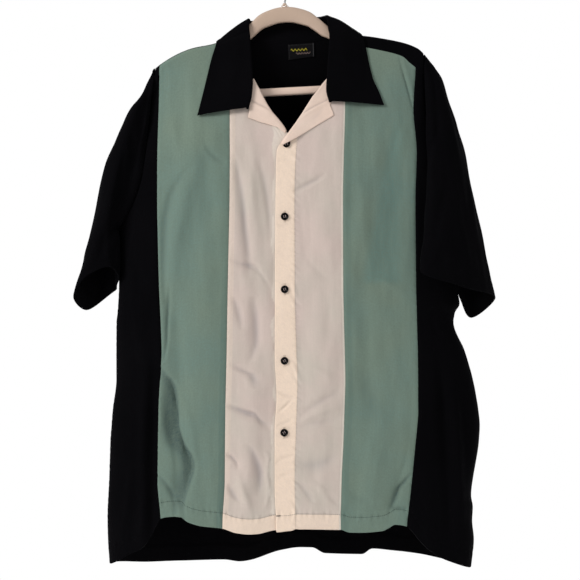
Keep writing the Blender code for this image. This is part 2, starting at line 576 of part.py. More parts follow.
def build_back(collection, cloths):
    across = np.array(NECK_COLUMNS) * MM
    right, left = upright(across[0]), upright(across[-1])
    stretches = [
        side_stretch(RIGHT, BACK),
        (seam("right_green"), right, even(6)[1:-1]),
        (right, left, (across - across[0]) / (across[-1] - across[0])),
        (left, seam("left_green"), even(7)[1:-1]),
        side_stretch(LEFT, BACK),
    ]
    grid = body_grid(BACK, stretches)
    make_sheet("back", grid, cloths["black"], collection)
    return grid


# -------------------------------------------------------------------------------------------------- sleeves

SLEEVE_AROUND = 27              # points of a row
SLEEVE_TOP = 5.0 * MM           # the sleeve's first row lies on the armhole, down to this far below its top
UNDERARM_LAP = 1.8 * MM         # near the underarm point the sleeve starts this much further out
LAP_DOWN = (-300.0 * MM, -360.0 * MM)


def armhole_edge(side, front_grid, back_grid):
    """Edge of the armhole, from the underarm point up the front, over the shoulder and down the back."""
    column = 0 if side == RIGHT else -1
    front = front_grid[:BEND_STEPS[FRONT] + UPPER_STEPS + 1, column]
    back = back_grid[:BEND_STEPS[BACK] + UPPER_STEPS + 1, column]
    return np.concatenate((front[::-1], back))


def edge_at(edge, face, height):
    """Point of the armhole's edge at a height, on its front or its back."""
    half = edge[edge[:, 1] * face >= 0]
    half = half[np.argsort(half[:, 2])]
    return np.array([np.interp(height, half[:, 2], half[:, axis]) for axis in range(3)])


def curve_through(points, count):
    """Evenly spaced points on a smooth curve through the given ones."""
    step = np.linalg.norm(np.diff(points, axis=0), axis=1)
    keys = np.concatenate(([0.0], np.cumsum(step)))
    slope = np.diff(points, axis=0) / step[:, None]
    inner = (slope[:-1] * step[1:, None] + slope[1:] * step[:-1, None]) / (step[:-1] + step[1:])[:, None]
    tangent = np.concatenate((slope[:1], inner, slope[-1:]))
    at = np.linspace(0.0, keys[-1], count)
    row = np.clip(np.searchsorted(keys, at) - 1, 0, len(step) - 1)
    part = ((at - keys[row]) / step[row])[:, None]
    rest, length = 1 - part, step[row][:, None]
    return (rest * rest * ((1 + 2 * part) * points[row] + part * length * tangent[row])
            + part * part * ((3 - 2 * part) * points[row + 1] - rest * length * tangent[row + 1]))


def sleeve_row(side, edge, number):
    """Points of one row of a sleeve; its two ends are the same below the underarm point."""
    value = {name: float(read(SLEEVES[side], name, number * MM)) for name in SLEEVE_COLUMNS[1:]}
    first, *others = [np.array([value[f"{point}_{axis}"] for axis in "xyz"]) for point in SLEEVE_POINTS]
    last = first
    if first[2] > ARMPIT:
        height = first[2]
        lap = GAP + UNDERARM_LAP * float(ramp(height, LAP_DOWN))
        first, last = (edge_at(edge, face, height) + (side * lap, 0.0, 0.0) for face in (FRONT, BACK))
    return curve_through(np.array([first, *others, last]), SLEEVE_AROUND)


def top_row(side, edge):
    """The sleeve's first row, on the armhole's edge over the shoulder."""
    low = edge[:, 2].max() - SLEEVE_TOP
    over = edge[edge[:, 2] > low]
    points = np.concatenate(([edge_at(edge, FRONT, low)], over, [edge_at(edge, BACK, low)]))
    return curve_through(points, SLEEVE_AROUND) + (side * (GAP + UNDERARM_LAP), 0.0, 0.0)


def build_sleeve(side, collection, cloths, front_grid, back_grid):
    edge = armhole_edge(side, front_grid, back_grid)
    numbers = SLEEVES[side]["row"] / MM
    grid = np.array([top_row(side, edge)] + [sleeve_row(side, edge, number) for number in numbers])
    rows, columns = grid.shape[:2]
    joined = SLEEVES[side]["end_z"] <= ARMPIT
    seam_rows = {row + 1 for row, closed in enumerate(joined) if closed}
    names = np.arange(rows * columns).reshape(rows, columns)
    for row in seam_rows:
        names[row, -1] = names[row, 0]
    name = "sleeve_right" if side == RIGHT else "sleeve_left"
    make_sheet(name, grid, cloths["black"], collection, names=names, flip=side == LEFT)


# --------------------------------------------------------------------------------------- collar and lapels

def sewn_point(x, z, lift):
    """Point above the front, square off the cloth where that bends over the shoulder."""
    drop = max(float(read(SHOULDER, "height", x)) - z, 0.0)
    turn = math.acos(1 - min(drop / SHOULDER_RADIUS, 1.0))
    return np.array((x, -float(depth_at(FRONT, x, z)) - lift * math.sin(turn), z + lift * math.cos(turn)))


def collar_front(stand_z, stand_x, stand_off, fold_z, fold_x, fold_off, edge_z, edge_x, edge_off):
    """Stand, fold and edge points of one row of the collar on a front."""
    return [sewn_point(stand_x, stand_z, stand_off), on_cloth(FRONT, fold_x, fold_z, fold_off),
            on_cloth(FRONT, edge_x, edge_z, edge_off)]


def collar_neck(across, sewn_to):
    """Stand, fold and edge points at a place round the neck, on the back's top edge."""
    value = {name: float(read(COLLAR_NECK, name, across)) for name in COLLAR_NECK}
    fold, edge = ([value[f"{line}_{axis}"] for axis in "xyz"] for line in ("fold", "edge"))
    x, y, z = sewn_to
    if y > 0:
        stand = np.array((x, y - CLOTH * min(y / SHOULDER_RADIUS, 1.0), z + GAP))
    else:
        stand = sewn_point(x, z, STAND_LIFT)
    return [stand, np.array(fold), np.array(edge)]


def collar_lines(back_grid):
    """Stand, fold and edge points of the collar, from its right end round the neck to its left end."""
    top_edge = back_grid[0]
    lines = [collar_front(*row) for row in zip(*COLLAR_FRONTS[RIGHT].values())]
    for across in COLLAR_NECK["across"]:
        nearest = np.argmin(np.abs(top_edge[:, 0] - across))
        lines.append(collar_neck(across, top_edge[nearest]))
    left = [collar_front(*row) for row in zip(*COLLAR_FRONTS[LEFT].values())]
    return np.array(lines + left[::-1])


def between_stations(lines):
    """The same lines with one more station between each two, on smooth curves; the sewn edge is straight."""
    count = len(lines)
    at = np.linspace(0, count - 1, 2 * count - 1)
    flat = lines.reshape(count, -1)
    keys = np.arange(count, dtype=float)
    smooth = np.column_stack([smooth_value(keys, flat[:, i], at) for i in range(flat.shape[1])])
    smooth = smooth.reshape(len(at), *lines.shape[1:])
    smooth[1::2, 0] = (lines[:-1, 0] + lines[1:, 0]) / 2
    return smooth


def unit(vector):
    return vector / np.linalg.norm(vector)


def collar_section(stand, fold, edge, heading):
    """Points across the collar: up the stand, round the fold and down the fall."""
    up = fold - (stand + edge) / 2
    up = unit(up - heading * np.dot(up, heading))
    out = np.cross(up, heading)
    centre = fold - up * COLLAR_FOLD
    points = [stand, (stand + centre - out * COLLAR_FOLD) / 2]
    for turn in np.radians((0, 45, 90, 135, 180)):
        points.append(centre + COLLAR_FOLD * (up * math.sin(turn) - out * math.cos(turn)))
    last = points[-1]
    for part in (0.2, 0.45, 0.72, 1.0):
        points.append(last + (edge - last) * part + out * COLLAR_BOW * math.sin(math.pi * part))
    return points


def build_collar(collection, cloths, back_grid):
    lines = between_stations(collar_lines(back_grid))
    headings = np.gradient(lines[:, 1], axis=0)
    grid = np.array([collar_section(*line, unit(heading)) for line, heading in zip(lines, headings)])
    make_sheet("collar", grid, cloths["black"], collection, flip=True)


def lapel_section(side, fold_z, fold_x, edge_z, edge_x, outer):
    """Points across a lapel: its facing behind the front, the fold, and the leaf that lies on the front."""
    fold, edge = np.array((fold_x, fold_z)), np.array((edge_x, edge_z))
    width = np.linalg.norm(edge - fold)
    heading = (edge - fold) / width
    inner = -(2 * CLOTH + GAP)
    radius, middle = (outer - inner) / 2, (outer + inner) / 2
    spots = [(FACING_INSIDE, inner), (FACING_INSIDE * 0.55, inner)]
    for turn in np.radians((0, 45, 90, 135, 180)):
        spots.append((radius - radius * math.sin(turn), middle - radius * math.cos(turn)))
    bow = LAPEL_BOW * min((width - radius) / BOW_WIDTH, 1.0)
    for part in (0.25, 0.5, 0.75, 1.0):
        spots.append((radius + (width - radius) * part, outer + bow * math.sin(math.pi * part)))
    points = []
    for reach, lift in spots:
        x, z = fold + heading * reach
        point = on_cloth(FRONT, x, z, lift)
        if side == RIGHT:
            point[1] += under_step(x, z)
        points.append(point)
    return points


def build_lapel(side, collection, cloths):
    grid = np.array([lapel_section(side, *row) for row in zip(*LAPELS[side].values())])
    name = "lapel_right" if side == RIGHT else "lapel_left"
    make_sheet(name, grid, cloths["white"], collection, flip=side == RIGHT)


# ----------------------------------------------------------------------------------------- label and buttons

def build_label(collection, material):
    top_left, top_right, low_left, low_right = np.array(LABEL_CORNERS) * MM
    inside = CLOTH + LABEL_CLOTH + LABEL_GAP
    rows = []
    for down in even(4):
        row = []
        for over in even(5):
            x, z = (1 - down) * (top_left + (top_right - top_left) * over) + down * (
                low_left + (low_right - low_left) * over)
            row.append(on_cloth(BACK, x, min(z, LABEL_STRAIGHT), -inside))
            row[-1][2] = z
        rows.append(row)
    make_sheet("neck_label", np.array(rows), material, collection, LABEL_CLOTH, flip=True)


def turned(name, profile, material, collection, steps):
    """Solid turned about Z from a profile that runs down its outer side; both ends are on the axis."""
    mesh = bpy.data.meshes.new(name)
    edges = [(i, i + 1) for i in range(len(profile) - 1)]
    mesh.from_pydata([(radius, 0.0, height) for radius, height in profile], edges, [])
    item = make_object(name, mesh, material, collection)
    screw = item.modifiers.new("turn", "SCREW")
    screw.steps = screw.render_steps = steps
    screw.use_merge_vertices = True
    screw.merge_threshold = 0.01 * MM
    return item


def build_buttons(collection, material):
    radius, tall = BUTTON_RADIUS, BUTTON_THICKNESS
    profile = ((0.0, tall * 0.6), (radius * 0.62, tall * 0.6), (radius * 0.78, tall), (radius, tall * 0.7),
               (radius, tall * 0.3), (radius * 0.8, 0.0), (0.0, 0.0))
    for number, (x, z) in enumerate(BUTTON_PLACES, start=1):
        button = turned(f"button_{number}", profile, material, collection, 14)
        seat = min(-depth_at(FRONT, x * MM + dx, z * MM + dz)
                   for dx in (-radius, 0.0, radius) for dz in (-radius, 0.0, radius))
        button.location = (x * MM, seat - GAP, z * MM)
        button.rotation_euler = (math.radians(90), 0.0, 0.0)


# --------------------------------------------------------------------------------------------------- hanger

def hanger_path():
    """Middle line of the frame and its height there, once round: right arm from the middle outward, the
    bend, the bar and back.  Right here is -X; the other arm is the mirror image."""
    reach = HANGER_ARM["across"]
    arm = [(x, top - tall / 2, tall) for x, top, tall in
           zip(reach, HANGER_ARM["top"], HANGER_ARM["tall"])]
    bend = [(x * MM, z * MM, BAR_TALL) for x, z in HANGER_BEND]
    bar = [(x, BAR_HEIGHT, BAR_TALL) for x in BAR_PLACES]
    half = arm + bend + bar
    middle = [(0.0, BAR_HEIGHT, BAR_TALL)]
    return half + middle + [(-x, z, tall) for x, z, tall in half[:0:-1]]


def signed_power(value, exponent):
    return math.copysign(abs(value) ** exponent, value)


def build_hanger_frame(collection, material):
    path = np.array(hanger_path())
    count = len(path)
    arm = len(HANGER_ARM["across"])
    rows = []
    for index in range(count):
        before, after = path[index - 1, :2], path[(index + 1) % count, :2]
        tangent = (after - before) / np.linalg.norm(after - before)
        normal = np.array((-tangent[1], tangent[0]))
        tall = path[index, 2]
        if index < arm or index > count - arm:
            tall *= abs(tangent[0])
        row = []
        for angle in np.radians(HANGER_SECTION):
            up = signed_power(math.cos(angle), HANGER_CROWN) * tall / 2
            deep = signed_power(math.sin(angle), HANGER_CHEEK) * HANGER_THICKNESS / 2
            x, z = path[index, :2] + normal * up
            row.append((x, deep, z))
        rows.append(row)
    grid = np.array(rows)
    names = np.arange(grid.shape[0] * grid.shape[1]).reshape(grid.shape[:2])
    names = np.concatenate((names, names[:1]))
    names = np.concatenate((names, names[:, :1]), axis=1)
    faces = [face[::-1] for face in grid_faces(names)]
    mesh = bpy.data.meshes.new("hanger_frame")
    mesh.from_pydata(grid.reshape(-1, 3).tolist(), [], faces)
    item = make_object("hanger_frame", mesh, material, collection)
    turn = Matrix.Rotation(-HANGER_TILT, 4, "Y")
    pivot = Matrix.Translation((0.0, 0.0, HANGER_PIVOT))
    item.matrix_world = pivot @ turn @ pivot.inverted()


def build_ferrule(collection, material):
    radius, tall = FERRULE_RADIUS, FERRULE_TALL
    base = FERRULE_TOP - tall
    profile = ((0.0, FERRULE_TOP), (radius * 0.42, FERRULE_TOP), (radius * 0.52, base + tall * 0.6),
               (radius * 0.74, base + tall * 0.25), (radius, base + tall * 0.08), (radius, base), (0.0, base))
    ferrule = turned("hanger_ferrule", profile, material, collection, 14)
    ferrule.scale = (1.0, FERRULE_DEPTH / radius, 1.0)


def build_hook(collection, material):
    """Shank out of the ferrule, then the loop of the hook over the rail."""
    centre = HOOK_WIRE - HOOK_RADIUS
    points = [(x * MM, z * MM) for x, z in HOOK_SHANK]
    for turn in np.radians(np.linspace(*HOOK_TURN, 17)):
        points.append((HOOK_RADIUS * math.cos(turn), centre + HOOK_RADIUS * math.sin(turn)))
    points.append((points[-1][0] + HOOK_END[0], points[-1][1] + HOOK_END[1]))
    curve = bpy.data.curves.new("hanger_hook", "CURVE")
    curve.dimensions = "3D"
    curve.bevel_depth = HOOK_WIRE
    curve.bevel_resolution = 2
    curve.use_fill_caps = True
    spline = curve.splines.new("POLY")
    spline.points.add(len(points) - 1)
    for place, (x, z) in zip(spline.points, points):
        place.co = (x, 0.0, z, 1.0)
    item = bpy.data.objects.new("hanger_hook", curve)
    collection.objects.link(item)
    curve.materials.append(material)


def main():
    for item in list(bpy.data.objects):
        bpy.data.objects.remove(item, do_unlink=True)
    collection = bpy.data.collections.new("bowling_shirt")
    bpy.context.scene.collection.children.link(collection)
    cloths = {
        "black": make_material("black_twill", (0.012, 0.012, 0.014), 0.85),
        "green": make_material("green_twill", (0.19, 0.30, 0.25), 0.85),
        "white": make_material("white_twill", (0.74, 0.70, 0.66), 0.85),
    }
    label = make_material("label_weave", (0.02, 0.02, 0.02), 0.7)
    button = make_material("button_plastic", (0.01, 0.01, 0.012), 0.25)
    plastic = make_material("hanger_plastic", (0.72, 0.66, 0.58), 0.35)
    steel = make_material("hook_steel", (0.6, 0.6, 0.6), 0.3, 1.0)

    fronts = build_fronts(collection, cloths)
    back = build_back(collection, cloths)
    build_sleeve(RIGHT, collection, cloths, fronts["front_right_side"], back)
    build_sleeve(LEFT, collection, cloths, fronts["front_left_side"], back)
    build_collar(collection, cloths, back)
    build_lapel(RIGHT, collection, cloths)
    build_lapel(LEFT, collection, cloths)
    build_label(collection, label)
    build_buttons(collection, button)
    build_hanger_frame(collection, plastic)
    build_ferrule(collection, plastic)
    build_hook(collection, steel)


main()
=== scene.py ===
"""Looks of a bowling shirt on a hanger: cloth, stitching, buttons, label, hanger and light.

Metres, +Z up, in the frame of the part.  The origin is the inside top of the hanger's hook, the front faces
-Y, and left and right are the wearer's (left is +X).  Every cloth piece is a fine grid of points on the shape
of its solid, moved in and out by its folds, creases and seams, and closed into a thin shell.  The tables are
in millimetres and are turned into metres as they are read.
"""

import math

import bpy
import numpy as np
from mathutils import Matrix


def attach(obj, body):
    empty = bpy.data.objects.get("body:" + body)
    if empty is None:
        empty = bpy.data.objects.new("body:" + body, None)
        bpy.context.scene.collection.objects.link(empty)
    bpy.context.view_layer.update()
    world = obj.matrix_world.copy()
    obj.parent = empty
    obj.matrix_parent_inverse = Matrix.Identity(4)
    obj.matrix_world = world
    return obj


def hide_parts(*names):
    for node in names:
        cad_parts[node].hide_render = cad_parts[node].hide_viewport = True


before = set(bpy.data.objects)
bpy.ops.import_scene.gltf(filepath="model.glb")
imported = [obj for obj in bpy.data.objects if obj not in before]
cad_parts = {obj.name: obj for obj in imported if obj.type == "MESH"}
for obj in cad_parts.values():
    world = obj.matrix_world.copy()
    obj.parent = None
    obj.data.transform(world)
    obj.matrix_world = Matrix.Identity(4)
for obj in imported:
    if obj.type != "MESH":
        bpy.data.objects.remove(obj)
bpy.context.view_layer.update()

MM = 0.001
FRONT = -1
BACK = 1
RIGHT = -1
LEFT = 1
SIDE_NAMES = {RIGHT: "right", LEFT: "left"}

# Sizes of the shirt, as in the part
CLOTH = 1.3 * MM
LABEL_CLOTH = 1.0 * MM
GAP = 0.5 * MM
SHOULDER_RADIUS = 8.0 * MM
FULL_DEPTH = {FRONT: 45.0 * MM, BACK: 43.0 * MM}
SIDE_ROUNDNESS = 4.5
SHOULDER_ROUNDNESS = 14.0
SPREAD_DROP = 150.0 * MM
ARMPIT = -400.0 * MM
OVERLAP_STEP = 4.0 * MM
OVERLAP_ACROSS = (-66.0 * MM, -18.0 * MM)
OVERLAP_DOWN = (-200.0 * MM, -256.0 * MM)
LAPEL_TUCK = 6.0 * MM
TUCK_IN = (-152.0 * MM, -168.0 * MM)
TUCK_OUT = {"right": (-246.0 * MM, -258.0 * MM), "left": (-262.0 * MM, -276.0 * MM)}
FACING_INSIDE = 12.0 * MM
COLLAR_FOLD = 2.8 * MM
COLLAR_BOW = 2.0 * MM
LAPEL_BOW = 0.5 * MM
BOW_WIDTH = 14.0 * MM
STAND_LIFT = 1.1 * MM
LABEL_CORNERS = ((5.2, -114.0), (45.3, -111.4), (6.0, -136.9), (45.9, -131.3))
LABEL_GAP = 0.7 * MM
LABEL_STRAIGHT = -118.0 * MM
BUTTON_RADIUS = 5.75 * MM
BUTTON_THICKNESS = 2.4 * MM
BUTTON_PLACES = ((3.0, -272.2), (0.3, -381.0), (0.3, -490.0), (0.0, -596.9), (-0.4, -704.3))
HANGER_TILT = math.radians(3.0)
HANGER_PIVOT = -60.0 * MM
HANGER_THICKNESS = 10.8 * MM
HANGER_CROWN = 0.85
HANGER_CHEEK = 0.5
BAR_HEIGHT = -187.0 * MM
BAR_TALL = 12.0 * MM
FERRULE_TOP = -52.0 * MM
FERRULE_TALL = 4.6 * MM
FERRULE_RADIUS = 6.4 * MM
FERRULE_DEPTH = 3.9 * MM
HOOK_RADIUS = 21.5 * MM
HOOK_WIRE = 1.6 * MM
HOOK_SHANK = ((0.0, -51.6), (0.0, -49.0), (1.6, -45.2), (6.4, -41.0))
HOOK_TURN = (-50.0, 205.0)
HOOK_END = (-2.5 * MM, -6.0 * MM)


def table(columns, rows):
    """Named columns of a table that is written in millimetres."""
    values = np.array(rows, dtype=float) * MM
    return dict(zip(columns, values[np.argsort(values[:, 0])].T))


# Seam lines: how far across each one lies, by height.  The sides carry on above the underarm point as the
# line that the armholes are measured from.
SEAMS = table(
    ("height", "right_side", "right_green", "right_white", "left_white", "left_green", "left_side"), (
        (-95, -250, -191.5, -94, 104, 203, 253), (-125, -251, -191.5, -84, 95, 201.5, 253.5),
        (-160, -252, -191.5, -81, 92, 199.5, 254), (-222, -253, -191.5, -82.4, 91, 195, 255),
        (-285, -254, -191.5, -82, 89.2, 199, 256), (-356, -254, -191.5, -82.4, 87.7, 197.1, 257),
        (-414, -254, -190.6, -83.5, 87.9, 197.4, 259), (-491, -254.6, -188.5, -85.1, 88.1, 197.9, 264.6),
        (-512, -255.6, -187.4, -85.5, 88.6, 198.4, 268), (-526, -256.6, -186.7, -85.8, 89, 198.8, 260.8),
        (-540, -258, -186, -86, 89.3, 199.1, 258.4), (-583, -258.4, -184.7, -86.7, 90.5, 200.2, 275),
        (-626, -258.2, -187.7, -87.7, 91.3, 200.5, 287.4), (-673, -263.4, -190.3, -88.7, 90, 200.5, 296.2),
        (-700, -265.4, -190.9, -89, 89.1, 198.8, 298.6), (-718, -266.6, -191.2, -89.2, 88.5, 197, 297.8),
        (-776, -268.3, -191.5, -89.6, 85.7, 191.4, 288.8), (-806, -269.6, -189, -91, 85, 188, 285),
        (-823, -270.6, -187, -92.2, 84.6, 185.8, 287.6), (-843, -271, -185.7, -93, 84.4, 183.9, 286.5),
        (-873, -270.4, -185.2, -93, 84.4, 183.3, 289.2), (-914, -268, -185, -93, 84.4, 183, 285.8),
    ))

# How far each armhole lies inside the side line, by height
ARMHOLES = table(("height", "right", "left"), (
    (-400, 0, 0), (-394, 5.5, 5.5), (-386, 11, 11), (-360, 26, 24), (-320, 39, 34.5),
    (-260, 46, 40), (-200, 50, 42), (-155, 54, 42), (-95, 55, 40)))

# Inner edges of the two fronts: the fold of the lapel above the crossing, the front edge below it
FRONT_EDGE = table(("height", "right", "left"), (
    (-95, -87, 93), (-120, -69, 81), (-145, -56, 71), (-171, -46, 63.6), (-188, -37, 51), (-210, -28, 34),
    (-225, -17, 26.5), (-240, -4.2, 16.6), (-255, 5, 5.8), (-264, 11, -0.7), (-269.5, 14, -4.6),
    (-276, 15.5, -8.8), (-283, 16, -11), (-300, 17, -11.9), (-356, 16, -13), (-491, 16, -13.8),
    (-592, 16.5, -14), (-650, 17, -11.3), (-704, 16.5, -14.2), (-776, 16, -14.2), (-860, 16, -11.2),
))

# Shoulder line of the cloth
SHOULDER = table(("across", "height"), (
    (-290, -270), (-225, -188), (-200, -154), (-180, -138.7), (-157, -126.5),
    (-140, -120.4), (-111, -114.6), (-90, -107.5), (-74, -101), (0, -97.5), (86, -98.8),
    (125, -102.2), (150, -105.9), (181, -112.2), (203, -120.6), (213, -129), (233, -150), (290, -230)))

# Top edge of the back, as a distance along the cloth from the shoulder line: on the front where it is
# below zero (the shoulder seams), and the back of the neck where it is above
BACK_TOP = table(("across", "along"), (
    (-215, -5), (-95, -5), (-88, -3.5), (-84, 0), (-80, 5), (-76, 9.2), (-68, 11),
    (-60, 13), (-48, 16), (-30, 17.5), (8, 18), (50, 16), (62, 13), (72, 11.2),
    (80, 9.2), (84, 5.5), (88, 0), (91.5, -5.5), (96, -12), (102, -18), (110, -21.5),
    (123, -23.4), (164, -25.6), (180, -27.5), (191, -34), (202, -37.5), (215, -38.5)))

# Hems, by how far across
FRONT_HEM = table(("across", "height"), (
    (-269, -909), (-254, -901), (-234, -888.6), (-213, -877.5), (-202, -863),
    (-194, -846), (-185, -833), (-165, -830), (-155, -830.6), (-148, -836.6),
    (-138, -840.6), (-126, -843.8), (-93.5, -847.7), (-72.5, -854.5), (-51.6, -856.6), (-39.6, -856),
    (-12, -850.5), (5, -851.2), (20, -848.6), (84, -849.6), (98, -853.5), (114.5, -853.8),
    (146, -851.5), (157, -846.8), (165, -842), (182.4, -844.5), (191, -852), (203.5, -868),
    (219, -882.6), (235, -893), (259.4, -903.5), (285.5, -914)))
BACK_HEM = table(("across", "height"), (
    (-269, -909), (-209.5, -914), (-159, -913.4), (-95, -912), (-70, -915),
    (-57.5, -913.6), (-6, -897.2), (24, -892.8), (43, -893.2), (63, -902.2), (121, -903.6),
    (137, -894.8), (166, -897.2), (211, -902), (247, -908.6), (285.5, -914)))

# Largest folds of the body.  Each runs from its top to its bottom and fades out at both; a depth above zero
# stands out of the shirt, and one below zero is a trough.
FRONT_FOLDS = table(
    ("top", "top_across", "bottom", "bottom_across", "width", "depth"), (
        (-560, -197, -905, -200, 6, -7), (-600, -210, -905, -215, 8, 6), (-560, 230, -900, 251, 9, -10),
        (-590, 252, -850, 272, 8, 7), (-180, -122, -460, -178, 18, 3), (-470, -166, -700, -150, 12, -3.5),
        (-620, -176, -830, -158, 9, -4), (-250, 165, -520, 150, 26, -4), (-640, 150, -850, 120, 20, 3.5),
        (-480, 60, -760, 44, 20, 2.5), (-560, -40, -830, -60, 18, 2.5),
    ))
BACK_FOLDS = table(
    ("top", "top_across", "bottom", "bottom_across", "width", "depth"), (
        (-180, -150, -560, -175, 14, -6), (-210, 160, -620, 190, 15, -7), (-160, -60, -800, -84, 24, 5),
        (-420, 40, -910, 60, 26, 6), (-500, -190, -905, -215, 13, -8), (-560, 130, -905, 128, 16, -7),
        (-640, -16, -905, -30, 15, -5),
    ))

# Sleeves, row after row from the shoulder to the cuff.  A row starts on the front edge of the armhole and
# runs forward (tuck, inner, ridge), over the front of the sleeve, round its outer edge and along its back
# (rear) to the back edge.  Above the underarm point only the height of a row's ends is used, as they lie on
# the armhole; below it both ends are the one point given.
SLEEVE_POINTS = ("end", "tuck", "inner", "ridge", "front", "outer", "rear")
SLEEVE_COLUMNS = ("row", *(f"{point}_{axis}" for point in SLEEVE_POINTS for axis in "xyz"))
SLEEVES = {
    RIGHT: table(SLEEVE_COLUMNS, (
        (1, -198, -13, -174, -200, -13, -174, -203, -13, -174, -206, -12.5, -174, -208, -9, -174, -210.5, 0,
         -176, -207, 10, -176),
        (2, -200, -17, -187, -202, -17.5, -187, -206, -19, -188, -211, -20, -189, -217, -16, -194, -221, 0,
         -202, -214, 16, -196),
        (3, -202, -22, -205, -205, -23, -206, -211, -26, -207, -219, -30, -209, -232, -26, -217, -243.2, 0,
         -232, -227, 24, -220),
        (4, -204, -29, -240, -209, -31, -241, -219, -34, -243, -231, -39, -246, -245, -35, -253, -257, 0,
         -267, -238, 29, -254),
        (5, -208, -33, -280, -216, -35, -281, -228, -38, -283, -241, -45, -286, -259, -40, -294, -274.2, 0,
         -307, -249, 31, -294),
        (6, -215, -33, -320, -225, -36, -321, -238, -38, -323, -252, -47, -326, -268, -42, -336, -283, 0,
         -350, -257, 31, -337),
        (7, -225, -31, -350, -235, -34, -351, -246, -36, -353, -258, -46, -356, -275, -41, -369, -291, 0,
         -388, -263, 29, -375),
        (8, -238, -27, -377, -245, -30, -377, -252, -33, -379, -262, -44, -383, -280, -41, -396, -298.5, 0,
         -420, -273, 27, -404),
        (9, -250, -20, -391, -253, -24, -391, -255, -28, -394, -264, -41, -400, -283, -40, -411, -303, 2,
         -438, -281, 28, -427),
        (10, -256, 0, -400, -255.5, -13, -402, -250, -25, -408, -264, -38, -415, -286, -39, -427, -306.5, 2,
         -456, -284, 28, -447),
        (11, -259.5, 3, -440, -255.5, -12, -438, -249.5, -25, -437, -261, -37, -437, -291, -38, -447,
         -314.6, -2, -482, -285, 25, -482),
        (12, -257.6, 6, -490, -255, -10, -483, -250, -24, -472, -259, -37, -457, -302, -31, -472, -322.3,
         -3, -506, -309, 19, -521),
    )),
    LEFT: table(SLEEVE_COLUMNS, (
        (1, 213, -13, -150, 214.5, -13, -150, 216, -13, -150, 219, -12.5, -150, 224, -9, -150, 229, 0, -148,
         224, 10, -150),
        (2, 213, -17, -168, 214, -18, -168, 215.5, -19.5, -168, 219, -21, -168, 230, -17, -168, 239.6, 0,
         -166, 231, 16, -169),
        (3, 213, -22, -198, 213, -25, -198, 213, -29, -198, 217, -33, -198, 234, -30, -198, 250.2, 0, -199,
         235, 25, -200),
        (4, 214, -30, -238, 213, -34, -238, 213, -39, -238, 218, -44, -238, 243, -40, -240, 264, -1, -241,
         243, 31, -240),
        (5, 217, -34, -282, 214, -41, -282, 213, -48, -283, 219, -54, -283, 249, -50, -287, 276.2, -2, -288,
         250, 33, -284),
        (6, 223, -33, -322, 217, -42, -322, 212, -51, -323, 217, -61, -325, 252, -58, -332, 285, -4, -334,
         257, 31, -328),
        (7, 231, -31, -350, 222, -42, -351, 211, -54, -352, 214, -65, -354, 254, -64, -364, 291.6, -5, -368,
         264, 27, -362),
        (8, 242, -26, -376, 232, -40, -377, 208, -57, -380, 210, -69, -384, 256, -70, -397, 299, -6, -405,
         271, 22, -394),
        (9, 253, -18, -391, 246, -38, -393, 207, -60, -402, 207, -72, -408, 257, -73, -425, 305.6, -7, -437,
         276, 20, -420),
        (10, 261.5, 0, -400, 256, -30, -402, 206, -61, -416, 204, -73, -424, 257, -76, -440, 308.8, -7,
         -455, 280, 19, -444),
        (11, 260.4, 0, -440, 255, -34, -430, 204, -63, -434, 201, -76, -443, 257, -78, -462, 313.6, -8,
         -482, 285, 18, -486),
        (12, 265.2, 0, -497, 255, -36, -462, 203, -66, -454, 199, -78, -461, 257, -79, -484, 319.8, -8,
         -507, 286, 16, -533),
    )),
}

# Collar on the fronts, from its end up to the shoulder.  Each row has the line it is sewn on (stand), the
# line it folds on and its outer edge, and each of the three has its height, its place across and how far it
# lies off the cloth.
COLLAR_COLUMNS = ("stand_z", "stand_x", "stand_off", "fold_z", "fold_x", "fold_off",
                  "edge_z", "edge_x", "edge_off")
COLLAR_FRONTS = {
    RIGHT: table(COLLAR_COLUMNS, (
        (-214, -60, 3.6, -219.5, -54, 6.4, -229, -130.6, 4.5),
        (-199, -56, 3.6, -199, -49, 6.4, -202, -125, 2.6),
        (-176, -54, 3.4, -172, -47.5, 6.4, -166, -117.5, 2.4),
        (-146, -57, 1.4, -141, -49.5, 6, -136, -110.5, 2.4),
        (-121, -68, 1.2, -108, -52, 9, -121.5, -106, 2.6),
        (-111, -74.5, 1.2, -97, -53, 10.5, -116, -104.8, 3.2),
        (-104.5, -80, 1.2, -87, -54, 10, -110.5, -104.2, 4.4),
    )),
    LEFT: table(COLLAR_COLUMNS, (
        (-204, 76, 3.6, -209, 66.5, 6.4, -213, 149.4, 4.6),
        (-190, 72, 3.6, -189, 62.5, 6.4, -192, 142.5, 2.6), (-170, 71, 3.4, -165, 64, 6.4, -171, 134, 2.4),
        (-143, 72, 1.4, -138, 66, 6, -144, 128, 2.4), (-119, 81, 1.2, -104, 68, 9.5, -122, 124, 2.6),
        (-109, 87, 1.8, -91, 66, 10.5, -112, 121.4, 3.4),
    )),
}
# Round the neck, by how far across the line it is sewn on lies
COLLAR_NECK = table(("across", "fold_x", "fold_y", "fold_z", "edge_x", "edge_y", "edge_z"), (
    (-84, -53.2, -3, -77.6, -103.2, -3, -110), (-80, -53.2, 3.5, -75.4, -101.5, 6.5, -110.4),
    (-75, -52.5, 9, -76.5, -97, 12, -117), (-60, -46, 14, -75.5, -84, 15.5, -133),
    (-36, -31, 17.5, -73, -58, 18, -143), (-10, -8, 20, -70.5, -20, 20, -148),
    (18, 16, 20, -70, 24, 20, -148.5), (44, 38, 18.5, -70, 65, 18.5, -144),
    (65, 51, 14.5, -69.6, 94, 16.5, -131), (80, 58.5, 8.5, -69.8, 109.5, 12.5, -112),
    (84, 61.5, 4, -70.2, 114.2, 6.5, -99.9), (88, 63, -1.5, -71.5, 116.4, -2, -98.9),
    (91.5, 64.5, -8, -76.5, 119, -9.7, -104),
))

